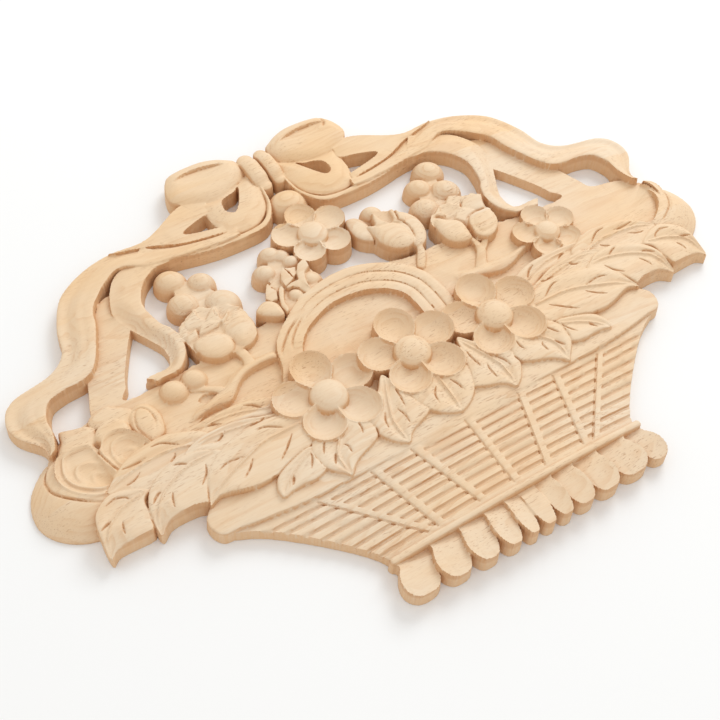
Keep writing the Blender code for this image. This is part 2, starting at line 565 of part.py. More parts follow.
def bow_side(points, side):
    """Points of the bow's right half, set beside the knot on either side."""
    return [(BOW_SHIFT + side * point[0],) + tuple(point[1:]) for point in points]


def lower_loop_top(x, _):
    """Lower loops, arched across the board."""
    return LOWER_LOOP_TOP - LOWER_LOOP_ARCH * ((np.abs(x - BOW_SHIFT) - 30.0) / 22.0) ** 2


def upper_loop_top(_, y):
    """Upper loops, arched from the knot up."""
    return LOOP_TOP - LOOP_ARCH * ((y - 140.0) / 17.0) ** 2


def carve_bow(relief):
    """Two loops on each side of the knot, the lower one pierced."""
    for side in (1, -1):
        lower = curve(bow_side(LOWER_LOOP, side), True)
        relief.slab(lower, lower_loop_top, LOOP_EDGE, 0.5 * LOOP_EDGE)
        relief.roll(bow_side(LOOP_STRIP, side), 0.6)
        relief.cut(curve(bow_side(LOOP_HOLE, side), True))
        upper = curve(bow_side(UPPER_LOOP, side), True)
        relief.slab(upper, upper_loop_top, 1.75 * LOOP_EDGE, LOOP_EDGE)
    foot = KNOT_TOP - KNOT_CROWN
    for x, half in KNOT_ROLLS:
        rows = [(x, 141.0, half, foot - 1.0), (x, 130.0, half, foot),
                (x, 119.0, half - 0.4, foot - 2.0)]
        relief.roll(rows, KNOT_CROWN)


def carve_fruit(relief):
    """Bunches of berries and larger fruit in the openings, with their stems."""
    for x, y, radius, top in BERRIES:
        relief.dome((x, y), (radius, radius * BERRY_SQUASH), BERRY_FOOT, top, BERRY_TURN)
    for points, top in WEBS:
        relief.slab(curve(points, True), top)
    for points, foot, top, reach in FRUIT:
        relief.pillow(points, foot, top, reach)
    for points in LEDGES:
        relief.lower(curve(points, True), LEDGE_TOP)
    for upper, lower in BRANCHES:
        relief.ribbon(upper, lower, branch_section)
    for rows in STEMS:
        relief.roll(rows, STEM_CROWN)


def petal(centre, turn, length, half):
    """Outline of a petal, a wedge at the middle of its flower and round at its end."""
    angle = math.radians(turn)
    ux, uy = math.cos(angle), math.sin(angle)
    wedge = WEDGE * math.tan(math.pi / len(PETAL_TURNS))
    shape = [(part * length, part * length * wedge) for part in (0.06, 0.30)]
    for step in (115.0, 95.0, 75.0, 55.0, 35.0, 17.0):
        bow = math.radians(step)
        shape.append((length - half + half * math.cos(bow), half * math.sin(bow)))
    left = [(centre[0] + ux * a - uy * h, centre[1] + uy * a + ux * h) for a, h in shape]
    right = [(centre[0] + ux * a + uy * h, centre[1] + uy * a - ux * h) for a, h in shape[::-1]]
    tip = (centre[0] + ux * length, centre[1] + uy * length)
    return curve(left + [tip] + right, True)


def carve_flower(relief, flower, laid):
    """Five hollow petals around a ball."""
    x, y, across, up, half, rim, bowl, ball, top = flower
    for turn in PETAL_TURNS:
        length = across + (up - across) * abs(math.sin(math.radians(turn)))
        outline = petal((x, y), turn, length, half)
        relief.spoon(outline, rim, bowl, 0.95 * half, laid, PETAL_TILT, (x, y))
    relief.dome((x, y - 0.6), (ball, ball), rim - 0.8 * bowl, top)


def carve_ears(relief):
    """Hollow rose on the left ear, a plain raised rim on the right one."""
    for points, foot, top, reach in EAR_LOBES:
        relief.pillow(points, foot, top, reach)
    for points, rim, bowl, reach in EAR_BOWLS:
        relief.spoon(curve(points, True), rim, bowl, reach, True)
    relief.lower(curve(EAR_GROUND, True), GROUND_TOP)
    relief.ribbon(RIM_FOOT, RIM_OUTSIDE, ear_rim_section)


def carve_basket(relief):
    """Body of the basket and its plain rim."""
    for edge, top in ((BODY_SIDE, weave_height), (RIM_SIDE, rim_height)):
        right = curve(edge).tolist()
        relief.slab(np.array(mirrored(right[::-1], -1) + right, float), top)


def carve_leaves(relief):
    """Leaves that spread to both sides, and the ones that hang over the rim."""
    for side in (1, -1):
        relief.slab(curve(mirrored(LEAF_BED, side), True), BED_TOP)
        for outline, rib, top, droop in LEAVES:
            relief.blade(mirrored(outline, side), mirrored(rib, side), top, droop)
        for outline, rib in RIM_LEAVES:
            outline, rib = mirrored(outline, side), mirrored(rib, side)
            relief.blade(outline, rib, rim_leaf_height, RIM_LEAF_DROOP)
    outline, rib = RIM_CENTRE
    relief.blade(outline, rib, rim_leaf_height, RIM_LEAF_DROOP)


def scallop_edge(left, right):
    """Outline of one scallop between the notches on its two sides."""
    middle = 0.5 * (left + right)
    half = 0.5 * (right - left)
    tip = -153.7 + 1.5 * (middle / 70.0) ** 2
    lean = [(0.985, -138.0), (0.95, -133.5), (0.93, -130.5)]
    down = [(share * left, y) for share, y in lean]
    up = [(share * right, y) for share, y in lean[::-1]]
    return ([(left + 0.05 * half, -147.2), (left - 0.2, -142.5)] + down + up
            + [(right + 0.2, -142.5), (right - 0.05 * half, -147.2),
               (middle + 0.58 * half, tip + 1.1), (middle, tip),
               (middle - 0.58 * half, tip + 1.1)])


def carve_foot(relief):
    """Bead under the weave, and scallops that overlap towards both ends."""
    relief.slab(np.array(FOOT_BAND, float), weave_height)
    scallops = list(zip(NOTCHES[:-1], NOTCHES[1:]))
    for left, right in sorted(scallops, key=lambda pair: -abs(pair[0] + pair[1])):
        middle = 0.5 * (left + right)
        edge = curve(scallop_edge(left, right), True)
        part, x, y = relief.window(edge)
        depth = depth_inside(edge, x, y)
        outward = 2.0 * (x - middle) / (right - left) * np.sign(round(middle / 10.0))
        crown = RIM_MIDDLE - FACET_STEP - RIM_FALL * (middle / 80.0) ** 2
        facet = 0.5 * FACET_CLIMB * outward + FACET_BEND * outward ** 2
        step = FACET_STEP * smooth((y + 137.0) / 5.0)
        relief.cover(part, crown + facet - step, depth)
    bead = []
    for x in np.linspace(*BEAD_ENDS, 9):
        bead.append((x, BEAD_Y, BEAD_HALF, rim_height(x, BEAD_Y) - BEAD_SINK))
    relief.roll(bead, BEAD_CROWN)


def carve(step):
    """The whole relief."""
    relief = Relief(step)
    carve_ground(relief)
    carve_ribbons(relief)
    carve_bow(relief)
    carve_fruit(relief)
    for flower in SMALL_FLOWERS:
        carve_flower(relief, flower, False)
    relief.ribbon(HANDLE_FAR, HANDLE_NEAR, handle_section)
    carve_ears(relief)
    carve_basket(relief)
    carve_foot(relief)
    carve_leaves(relief)
    for flower in FLOWERS:
        carve_flower(relief, flower, True)
    return relief


def block_mesh(relief):
    """Block with the relief on its face, closed at the sides and the foot."""
    block = bmesh.new()
    columns = len(relief.x_line)
    rows = len(relief.y_line)
    bmesh.ops.create_grid(block, x_segments=columns - 1, y_segments=rows - 1, size=1.0)
    places = np.column_stack([relief.x.ravel(), relief.y.ravel(), relief.z.ravel()]) * MM
    for vertex, place in zip(block.verts, places.tolist()):
        vertex.co = place
    border = [edge for edge in block.edges if edge.is_boundary]
    sides = bmesh.ops.extrude_edge_only(block, edges=border)["geom"]
    for item in sides:
        if isinstance(item, bmesh.types.BMVert):
            item.co.z = BLOCK_FOOT * MM
    foot = [edge for edge in block.edges if edge.is_boundary]
    bmesh.ops.contextual_create(block, geom=foot)
    bmesh.ops.recalc_face_normals(block, faces=block.faces)
    mesh = bpy.data.meshes.new("carved_basket_applique")
    block.to_mesh(mesh)
    block.free()
    return mesh


def wood():
    """Pale, open-pored hardwood, sanded and left without a finish."""
    material = bpy.data.materials.new("raw_wood")
    material.use_nodes = True
    shader = material.node_tree.nodes["Principled BSDF"]
    shader.inputs["Base Color"].default_value = (0.72, 0.52, 0.33, 1.0)
    shader.inputs["Roughness"].default_value = 0.62
    shader.inputs["Metallic"].default_value = 0.0
    return material


def collection(name):
    """New collection in the scene."""
    group = bpy.data.collections.new(name)
    bpy.context.scene.collection.children.link(group)
    return group


def saw_block(group):
    """Everything above the back: what is left of the block inside it is the applique."""
    bpy.ops.mesh.primitive_cube_add(size=1.0, location=(0.0, 0.0, 0.5 * HALF_HEIGHT * MM))
    block = bpy.context.object
    block.name = "above_the_back"
    block.scale = (3.0 * HALF_WIDTH * MM, 3.0 * HALF_HEIGHT * MM, HALF_HEIGHT * MM)
    bpy.ops.object.transform_apply(location=False, rotation=False, scale=True)
    for owner in block.users_collection:
        owner.objects.unlink(block)
    group.objects.link(block)
    block.hide_render = True
    block.display_type = "WIRE"
    return block


def applique(group, cutter):
    """The carved board, brought down to few faces and cut flat along its back."""
    mesh = block_mesh(carve(GRID_STEP))
    mesh.materials.append(wood())
    board = bpy.data.objects.new("carved_basket_applique", mesh)
    group.objects.link(board)
    faces = sum(len(face.vertices) - 2 for face in mesh.polygons)
    thin = board.modifiers.new("few faces", "DECIMATE")
    thin.ratio = TRIANGLES / faces
    back = board.modifiers.new("flat back", "BOOLEAN")
    back.operation = "INTERSECT"
    back.solver = "EXACT"
    back.object = cutter
    return board


def main():
    for old in list(bpy.data.objects):
        bpy.data.objects.remove(old)
    parts = collection("carved_wood_applique")
    cutters = collection("cutters")
    applique(parts, saw_block(cutters))


main()
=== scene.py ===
# %% [markdown]
# # A carved wood applique
#
# The real thing is one flat board of pale, open-pored hardwood. A router roughs out a basket of
# flowers and fruit under a ribbon bow, a saw clears the openings, and a carver finishes the
# face by hand. It is sold raw, to be glued to a door or a headboard. This lesson builds the
# same carving as one fine mesh over the plain solid that the frame brings, and then gives it
# its wood.

# %% The frame
import math

import bmesh
import bpy
import numpy as np
from mathutils import Matrix, Vector


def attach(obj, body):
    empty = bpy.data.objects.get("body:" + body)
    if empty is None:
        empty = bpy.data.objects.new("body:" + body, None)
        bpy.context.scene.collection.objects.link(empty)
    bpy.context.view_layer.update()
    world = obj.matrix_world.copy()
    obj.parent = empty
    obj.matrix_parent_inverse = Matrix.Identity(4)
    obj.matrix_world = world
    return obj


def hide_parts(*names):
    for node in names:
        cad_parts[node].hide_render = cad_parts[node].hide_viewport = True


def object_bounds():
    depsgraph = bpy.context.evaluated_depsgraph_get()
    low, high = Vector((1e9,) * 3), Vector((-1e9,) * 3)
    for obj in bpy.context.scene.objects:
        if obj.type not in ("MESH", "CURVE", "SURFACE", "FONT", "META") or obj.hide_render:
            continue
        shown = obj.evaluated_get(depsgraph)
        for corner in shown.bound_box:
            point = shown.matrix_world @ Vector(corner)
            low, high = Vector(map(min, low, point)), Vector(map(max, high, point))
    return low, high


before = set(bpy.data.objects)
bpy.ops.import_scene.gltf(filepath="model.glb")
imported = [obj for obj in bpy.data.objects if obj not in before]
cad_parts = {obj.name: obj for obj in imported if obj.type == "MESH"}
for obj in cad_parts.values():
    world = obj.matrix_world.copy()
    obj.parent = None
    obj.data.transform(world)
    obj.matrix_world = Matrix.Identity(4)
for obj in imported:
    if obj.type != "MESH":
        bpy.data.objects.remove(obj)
cad_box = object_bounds()
NODE = "carved_basket_applique"
MM = 0.001
print("solid from", cad_box[0], "to", cad_box[1])

# %% [markdown]
# ## The camera
#
# The carving lies on a table and is seen from its lower left, about 54 degrees above the
# table. A camera can be aimed with a Track To constraint, but here its three axes are written
# down, because the picture is also rolled a little and an aim alone can't say that.

# %% Camera
CAMERA_PLACE = (-0.22768, -0.31611, 0.50245)
CAMERA_RIGHT = (0.8476, -0.5298, 0.0286)
CAMERA_UP = (0.4151, 0.6957, 0.5862)
CAMERA_BACK = (-0.3306, -0.4850, 0.8096)
LENS = 56.68
SENSOR = 36.0

lens = bpy.data.cameras.new("camera")
lens.lens = LENS
lens.sensor_width = SENSOR
camera = bpy.data.objects.new("camera", lens)
bpy.context.scene.collection.objects.link(camera)
axes = Matrix((CAMERA_RIGHT, CAMERA_UP, CAMERA_BACK)).transposed()
camera.matrix_world = Matrix.Translation(CAMERA_PLACE) @ axes.to_4x4()
bpy.context.scene.camera = camera
print("camera", round(camera.location.length, 3), "m from the origin")

# %% [markdown]
# ## The board as a height field
#
# Everything on this carving can be reached from above, because a router and a gouge made it:
# no part of it hangs over another. So the whole face is one height over each place of the
# board, and that can be worked out as an array of numbers. Modelling each berry and ribbon
# as a mesh and joining them with Booleans would also do, but hundreds of joins are slow and
# leave ragged seams, and here a later cut simply changes the numbers of an earlier one.
# Heights are in millimetres, and what is sawn away lies under the back, at VOID.

# %% The empty board
STEP = 0.5
HALF_WIDTH = 214.0
HALF_HEIGHT = 158.0
VOID = -8.0
x_line = np.arange(-HALF_WIDTH, HALF_WIDTH + STEP / 2, STEP)
y_line = np.arange(-HALF_HEIGHT, HALF_HEIGHT + STEP / 2, STEP)
X, Y = np.meshgrid(x_line, y_line)
Z = np.full(X.shape, VOID)
print("board of", X.shape[1], "by", X.shape[0], "heights")

# %% [markdown]
# A curve through a few points is enough for every outline. Catmull-Rom curves pass through
# their points, which makes them easy to draw from a picture.

# %% Curves
CURVE_SPACING = 1.5


def smooth(t):
    """Soft step from 0 to 1."""
    t = np.clip(t, 0.0, 1.0)
    return t * t * (3.0 - 2.0 * t)


def soft_step(place, start, width):
    """0 before the start, 1 beyond the width, soft between."""
    return smooth((place - start) / width)


def curve(points, closed=False, spacing=CURVE_SPACING):
    """Smooth curve through points, which may carry more columns than x and y."""
    p = np.array(points, float)
    spans = len(p) if closed else len(p) - 1
    if closed:
        p = np.vstack([p[-1], p, p[0], p[1]])
    else:
        p = np.vstack([2.0 * p[0] - p[1], p, 2.0 * p[-1] - p[-2]])
    rows = []
    for a, b, c, d in zip(p[:spans], p[1:], p[2:], p[3:]):
        count = max(2, int(np.hypot(*(c - b)[:2]) / spacing) + 1)
        t = np.linspace(0.0, 1.0, count, endpoint=False)[:, None]
        bend = (2.0 * a - 5.0 * b + 4.0 * c - d) * t ** 2
        twist = (3.0 * b - a - 3.0 * c + d) * t ** 3
        rows.append(0.5 * (2.0 * b + (c - a) * t + bend + twist))
    if not closed:
        rows.append(p[-2][None])
    return np.vstack(rows)


def ring(points):
    """Smooth closed outline."""
    return curve(points, True)


def flip(points, side):
    """Points of the right half as they are, or carried over to the left half."""
    return [(side * point[0],) + tuple(point[1:]) for point in points]


# %% Distances
def nearest(path, x, y):
    """Distance to a path, and the row of the nearest place on it."""
    best = np.full(x.shape, np.inf)
    row = np.zeros(x.shape)
    for i, (a, b) in enumerate(zip(path[:-1, :2], path[1:, :2])):
        dx, dy = b - a
        length = dx * dx + dy * dy
        if length == 0.0:
            continue
        t = np.clip(((x - a[0]) * dx + (y - a[1]) * dy) / length, 0.0, 1.0)
        ex = x - a[0] - t * dx
        ey = y - a[1] - t * dy
        square = ex * ex + ey * ey
        closer = square < best
        best = np.where(closer, square, best)
        row = np.where(closer, i + t, row)
    return np.sqrt(best), row


def depth_inside(outline, x, y):
    """Distance to a closed outline, positive inside it and negative outside."""
    loop = np.vstack([outline, outline[:1]])
    distance = nearest(loop, x, y)[0]
    odd = np.zeros(x.shape, bool)
    for (ax, ay), (bx, by) in zip(loop[:-1, :2], loop[1:, :2]):
        if ay != by:
            crossing = (bx - ax) * (y - ay) / (by - ay) + ax
            odd ^= ((ay > y) != (by > y)) & (x < crossing)
    return np.where(odd, distance, -distance)


# %% [markdown]
# A piece of carving is added in one of three ways. It is joined to what is there, so that
# the higher of the two shows. It is laid over what is there, so that it also hides what is
# higher. Or it is sawn or gouged away. Each step at an edge is spread over about one cell of
# the grid, which keeps the sawn walls from looking like stairs.

# %% Joining, laying and sawing
def window(points, margin=3.0):
    """The part of the board around some points."""
    p = np.asarray(points, float)
    left = max(0, np.searchsorted(x_line, p[:, 0].min() - margin))
    right = np.searchsorted(x_line, p[:, 0].max() + margin)
    low = max(0, np.searchsorted(y_line, p[:, 1].min() - margin))
    high = np.searchsorted(y_line, p[:, 1].max() + margin)
    part = (slice(low, high), slice(left, right))
    return part, X[part], Y[part]


def join(part, height, depth):
    """Join a raised piece to what is there, with a sawn wall on its outline."""
    wall = -VOID / STEP * (depth + 0.5 * STEP)
    Z[part] = np.maximum(Z[part], np.minimum(height, wall))


def covered(depth):
    """Share of each cell of the grid that lies inside an outline."""
    return np.clip(depth / STEP + 0.5, 0.0, 1.0)


def lay(part, height, depth):
    """Lay a surface over what is there."""
    Z[part] += covered(depth) * (height - Z[part])


def saw(outline):
    """Saw an outline right through."""
    part, x, y = window(outline)
    wall = -VOID / STEP * (0.5 * STEP - depth_inside(outline, x, y))
    Z[part] = np.minimum(Z[part], np.maximum(VOID, wall))


def height_of(top, x, y):
    """A height that is one number, or a rule for each place."""
    return top(x, y) if callable(top) else np.full(x.shape, float(top))


def put(part, height, depth, over):
    """Lay a surface over what is there, or else join it."""
    if over:
        lay(part, height, depth)
    else:
        join(part, height, depth)


def slab(outline, top, edge=0.0, drop=0.0, over=False):
    """Raised outline whose top may fall away towards its edge."""
    part, x, y = window(outline)
    depth = depth_inside(outline, x, y)
    height = height_of(top, x, y)
    if edge:
        height = height - drop * (1.0 - np.clip(depth / edge, 0.0, 1.0)) ** 2
    put(part, height, depth, over)


def slabs(rows, over=False):
    """Flat slabs with smooth outlines; rows of points and top."""
    for points, top in rows:
        slab(ring(points), top, over=over)


def report(name):
    """Say how far the carving has come."""
    print(name, "done, highest point", round(float(Z.max()), 1), "mm")


# %% [markdown]
# ## Ground and ears
#
# The router leaves a flat ground about 7 mm thick behind the basket, and struts of the same
# thickness between the openings. At both ends a round ear slopes down to a thin edge. The
# outlines are given for the right half and mirrored, because the two halves were routed
# from one pattern.

# %% Ground
GROUND_TOP = 6.8
STRIP_TOP = 10.2
GROUND_EDGE = [(-2, 34), (20, 33), (40, 29), (62, 28.5), (80, 26), (100, 25), (112, 22.5),
               (143.5, 21.5), (140.5, 29), (137, 37.5), (127.5, 54), (119, 68), (118, 80),
               (120, 90), (130, 88), (138, 76), (147, 62), (156, 50), (157.2, 42), (162.5, 27.5),
               (166, 20), (178, 17), (185, 14.5), (193, 8), (199, -2), (200, -16), (188, -32),
               (160, -40), (100, -45), (-2, -50)]
BOW_STRIP = [(45, 131), (55, 130), (65, 127), (88, 115.2), (112, 115.8), (88, 108.5),
             (70, 101), (50, 97.3), (42, 96.2), (42, 101), (45, 102), (66, 107.5),
             (56, 112.5), (44, 116), (44, 124)]
for side in (1, -1):
    slab(ring(flip(GROUND_EDGE, side)), GROUND_TOP)
    slab(ring(flip(BOW_STRIP, side)), STRIP_TOP)
report("ground")

# %% Ears
EAR_EDGE = [(190, 8), (198, 7), (209, -5), (212, -21), (204.5, -34.5), (189, -42.5),
            (170, -40), (160, -20), (170, 0)]
EAR_TOP = 11.0
EAR_ROUNDING = 20.0
EAR_EDGE_TOP = 1.5
for side in (1, -1):
    slab(ring(flip(EAR_EDGE, side)), EAR_TOP, EAR_ROUNDING, EAR_TOP - EAR_EDGE_TOP)
report("ears")

# %% [markdown]
# ## Ribbons
#
# Two ribbons leave the bow on each side: the outer one runs to a curl above the ear, the
# inner one turns down beside the fruit. A ribbon is the band between two edges, and its
# cross-section is a function of where a place lies between them. That keeps the lobes of
# its outline and the shape of its face apart, so each can be changed alone.

# %% Bands between two edges
def between(edge_a, edge_b):
    """Board around a band, depth inside it, place across it and place along it."""
    a = curve(edge_a)
    b = curve(edge_b)
    outline = np.vstack([a, b[::-1]])
    part, x, y = window(outline)
    depth = depth_inside(outline, x, y)
    from_a, row = nearest(a, x, y)
    from_b = nearest(b, x, y)[0]
    across = (from_a - from_b) / np.maximum(from_a + from_b, 1e-3)
    return part, depth, across, row / (len(a) - 1)


def band(edge_a, edge_b, section):
    """Ribbon; section takes the place across, from -1 on edge a to 1 on edge b, and along."""
    part, depth, across, along = between(edge_a, edge_b)
    join(part, section(across, along), depth)


def gouge(edge_a, edge_b, cut):
    """Hollow between two edges, as deep as cut says."""
    part, depth, across, along = between(edge_a, edge_b)
    Z[part] -= covered(depth) * cut(across, along)


# %% Outer ribbons
OUTER_FAR = [(40, 103), (50, 102), (72, 107), (84, 112.5), (95, 115.8), (112, 116.6),
             (130, 112), (147, 101), (157.2, 82), (161.5, 65), (172, 55.8), (191, 51.6),
             (197, 49), (201.5, 44.5), (204, 37), (203.2, 30), (200.3, 24.5), (193, 15),
             (193, 7.5)]
OUTER_NEAR = [(38, 90), (45, 89.2), (60, 90.2), (84, 93.2), (96, 95.5), (109.5, 101.5),
              (121.5, 95.5), (132, 85.5), (135.5, 79), (138, 70), (148, 49), (157, 41.5),
              (171, 39.8), (180, 36.5), (184.3, 27), (184.3, 20), (187, 10), (191, 6.5)]
OUTER_CREST = 11.4
OUTER_EDGE = 7.8
OUTER_LIP = 1.0
OUTER_ROLL = 1.6
OUTER_RIDGE = 0.5
OUTER_ROUNDING = 1.1
OUTER_START = 1.2


def outer_section(across, along):
    """A flat crest along the inner edge, a gouged slope, and a lip on the outer edge."""
    outward = -across
    slope = soft_step(outward, -0.25, 0.95)
    lip = OUTER_LIP * soft_step(outward, 0.35, 0.45)
    lip -= OUTER_ROLL * soft_step(outward, 0.86, 0.3)
    ridge = OUTER_RIDGE * soft_step(across, 0.35, 0.3)
    ridge -= OUTER_ROUNDING * soft_step(across, 0.8, 0.35)
    start = OUTER_START * soft_step(-along, -0.22, 0.15) * soft_step(outward, -0.2, 1.0)
    return OUTER_CREST - (OUTER_CREST - OUTER_EDGE) * slope + lip + ridge - start


for side in (1, -1):
    band(flip(OUTER_FAR, side), flip(OUTER_NEAR, side), outer_section)
report("outer ribbons")

# %% Inner ribbons
INNER_FAR = [(92, 112), (104, 104), (113, 100.5), (119, 95), (124.5, 85), (127, 75),
             (124, 64.5), (114.5, 45.5), (112.8, 39), (113.5, 33), (117, 29), (130.5, 27)]
INNER_NEAR = [(76, 92.6), (91, 92.3), (97, 89.8), (103, 85), (107.5, 78), (109.5, 70),
              (107, 56.5), (103.5, 50.5), (101.5, 44), (101.5, 38), (103.5, 31), (108, 25),
              (113, 21.8), (126, 21)]
INNER_CREST = 11.0
UPPER_FALL, UPPER_ROLL = 1.4, 0.9
TAIL_FALL, TAIL_ROLL = 4.0, 0.8
END_RISE = 2.6


def inner_section(across, along):
    """Highest along the opening; past its bend the face turns over to the window side."""
    outward = -across
    bend = soft_step(along, 0.36, 0.12)
    upper = UPPER_FALL * soft_step(outward, -0.1, 1.1)
    upper += UPPER_ROLL * soft_step(across, 0.8, 0.3)
    turned = soft_step(outward, -0.35, 1.25)
    tail = TAIL_FALL * turned + TAIL_ROLL * soft_step(across, 0.75, 0.3)
    flat_end = END_RISE * soft_step(along, 0.86, 0.12) * turned
    return INNER_CREST - upper * (1.0 - bend) - tail * bend + flat_end


for side in (1, -1):
    band(flip(INNER_FAR, side), flip(INNER_NEAR, side), inner_section)
report("inner ribbons")

# %% [markdown]
# ## The bow
#
# Each side of the bow has an upper loop, seen a little into its fold, and a lower loop that
# is sawn through. A thin tail of ribbon starts at the knot, runs around the lower loop and
# becomes the outer ribbon. The crease of a fold is not a line but a step: deep where the
# front of the fold begins, and fading out towards the other side.

# %% Cords and grooves
def cord(rows, crown):
    """Rounded strip of wood; rows of x, y, half width and edge height."""
    path = curve(rows)
    part, x, y = window(path, path[:, 2].max() + 2.0)
    distance, row = nearest(path, x, y)
    index = np.arange(len(path))
    half = np.interp(row, index, path[:, 2])
    foot = np.interp(row, index, path[:, 3])
    top = foot + crown * np.sqrt(np.clip(1.0 - (distance / half) ** 2, 0.0, 1.0))
    join(part, top, half - distance)


def groove(points, width, deep):
    """Narrow cut along a path, shallower at both ends."""
    path = curve(points, spacing=1.0)
    part, x, y = window(path, width + 2.0)
    distance, row = nearest(path, x, y)
    along = row / (len(path) - 1)
    ends = np.minimum(1.0, 4.0 * np.minimum(along, 1.0 - along) + 0.25)
    cut = deep * ends * np.clip(1.0 - 2.0 * distance / width, 0.0, 1.0)
    Z[part] -= np.where(Z[part] > 0.0, cut, 0.0)


# %% Lower loops
BOW_SHIFT = -1.8
LOWER_LOOP = [(8, 137), (14, 131), (32, 125), (42, 124.5), (47, 125), (47.4, 112), (46.5, 104),
              (43.5, 94.5), (31, 90.8), (24, 92.4), (13, 101.5), (9, 110), (7, 120)]
LOOP_HOLE = [(20.5, 125), (24, 122), (31, 120.5), (34.5, 117), (35.2, 110), (32, 107.2),
             (28.5, 110), (24, 117)]
LOOP_TAIL = [(7.8, 119, 1.0, 9.6), (9.3, 108, 1.4, 9.6), (12.6, 100, 1.9, 9.6),
             (18, 93.2, 2.2, 9.6), (26, 89.9, 2.3, 9.6), (46, 89.5, 2.2, 9.5),
             (60, 90.9, 2.0, 9.5), (74, 93.6, 1.8, 9.4), (86, 96, 1.6, 9.2)]
LOOP_CREASE = [(9.8, 114), (11, 106), (14.5, 99.5), (20, 94.3), (27, 92), (36, 91.6), (43, 93.5)]
CREASE_WIDTH, CREASE_DEPTH = 2.2, 1.0
LOWER_TOP = 12.0
LOWER_EDGE, LOWER_DROP = 13.0, 3.2
TAIL_CROWN = 0.9


def on_bow(points, side):
    """Points of the bow's right half, set beside the knot on either side."""
    return [(BOW_SHIFT + side * point[0],) + tuple(point[1:]) for point in points]


for side in (1, -1):
    slab(ring(on_bow(LOWER_LOOP, side)), LOWER_TOP, LOWER_EDGE, LOWER_DROP)
    cord(on_bow(LOOP_TAIL, side), TAIL_CROWN)
    saw(ring(on_bow(LOOP_HOLE, side)))
    groove(on_bow(LOOP_CREASE, side), CREASE_WIDTH, CREASE_DEPTH)
report("lower loops")

# %% Upper loops
UPPER_LOOP = [(10, 145), (14, 149.8), (30, 156.4), (50, 155.4), (57, 149.5), (60.5, 141),
              (61, 134.5), (58, 130), (52, 126.5), (37, 121.5), (24, 125), (10, 134)]
UPPER_TOP = 13.6
UPPER_EDGE, UPPER_DROP = 8.5, 3.6
UPPER_MIDDLE = 138.0
UPPER_CROWN, UPPER_HALF = 0.9, 17.0
KNOT_DIP = 1.6
FOLD_STEP = [(19, 144.2), (24, 146.2), (30, 147.9), (37, 148.9), (44, 148.6), (49, 147.4),
             (53, 145.6)]
FOLD_FADE = [(19, 144.2), (25, 141.5), (32, 139.6), (38, 139), (44, 139.8), (49, 142),
             (53, 145.6)]
FOLD_DEPTH, LAST_DROP = 2.3, 0.5
FOLD_NOTCH = [(53, 153), (53.2, 149), (51.8, 145), (49.5, 142.3)]
NOTCH_WIDTH, NOTCH_DEPTH = 2.6, 1.7


def fold(across, along):
    """Deep under the step, with a last small drop where the fold fades out."""
    ends = np.sin(math.pi * np.clip(along, 0.0, 1.0)) ** 0.5
    under_step = FOLD_DEPTH * (0.5 - 0.5 * across) ** 0.8
    return ends * (under_step + LAST_DROP * soft_step(across, 0.3, 0.7))


def upper_top(x, y):
    """Crowned along the loop and lower towards the knot."""
    dip = KNOT_DIP * soft_step(-np.abs(x - BOW_SHIFT), -22.0, 14.0)
    return UPPER_TOP - dip - UPPER_CROWN * ((y - UPPER_MIDDLE) / UPPER_HALF) ** 2


for side in (1, -1):
    slab(ring(on_bow(UPPER_LOOP, side)), upper_top, UPPER_EDGE, UPPER_DROP)
    gouge(on_bow(FOLD_STEP, side), on_bow(FOLD_FADE, side), fold)
groove(on_bow(FOLD_NOTCH, 1), NOTCH_WIDTH, NOTCH_DEPTH)
report("upper loops")

# %% Knot
KNOT_ROLLS = ((-7.4, 5.7), (3.2, 4.9))
KNOT_FOOT = 11.4
KNOT_CROWN = 3.0
KNOT_ROWS = [(0.0, 142.5, 0.0, -3.0), (0.0, 138.0, 0.0, -0.6), (0.0, 131.0, 0.0, 0.0),
             (0.0, 124.0, 0.0, -0.4), (0.5, 119.6, -0.4, -3.4)]
for middle, half in KNOT_ROLLS:
    cord([(middle + aside, y, half + wider, KNOT_FOOT + lift)
          for aside, y, wider, lift in KNOT_ROWS], KNOT_CROWN)
report("knot")

# %% [markdown]
# ## Fruit
#
# Three bunches hang in the openings: round berries, and larger fruit with pointed sepals.
# A berry is a low dome on a sawn wall. Fruit that isn't round is a pillow: it rises from its
# outline as a quarter circle does, and is flat in its middle. A sepal is a tilted plate, so
# that its tip stands clear of what is behind it and its foot runs into the fruit.

# %% Domes and pillows
def oval(x, y, centre, radii, turn=0.0):
    """How far out a place lies, 1 on the rim."""
    angle = math.radians(turn)
    dx = x - centre[0]
    dy = y - centre[1]
    along = (dx * math.cos(angle) + dy * math.sin(angle)) / radii[0]
    across = (dy * math.cos(angle) - dx * math.sin(angle)) / radii[1]
    return np.hypot(along, across)


def around(centre, reach):
    """The part of the board around a place."""
    x, y = centre
    return window([(x - reach, y - reach), (x + reach, y + reach)])


def dome(centre, radii, foot, top, turn=0.0):
    """Rounded lump of wood on an oval wall."""
    part, x, y = around(centre, max(radii))
    out = oval(x, y, centre, radii, turn)
    height = foot + (top - foot) * np.sqrt(np.clip(1.0 - out ** 2, 0.0, 1.0))
    join(part, height, (1.0 - out) * min(radii))


def pillow(points, foot, top, reach, over=False):
    """Raised outline that is rounded over some millimetres from its edge."""
    outline = ring(points)
    part, x, y = window(outline)
    depth = depth_inside(outline, x, y)
    bend = 1.0 - np.clip(depth / reach, 0.0, 1.0)
    put(part, foot + (top - foot) * np.sqrt(1.0 - bend ** 2), depth, over)


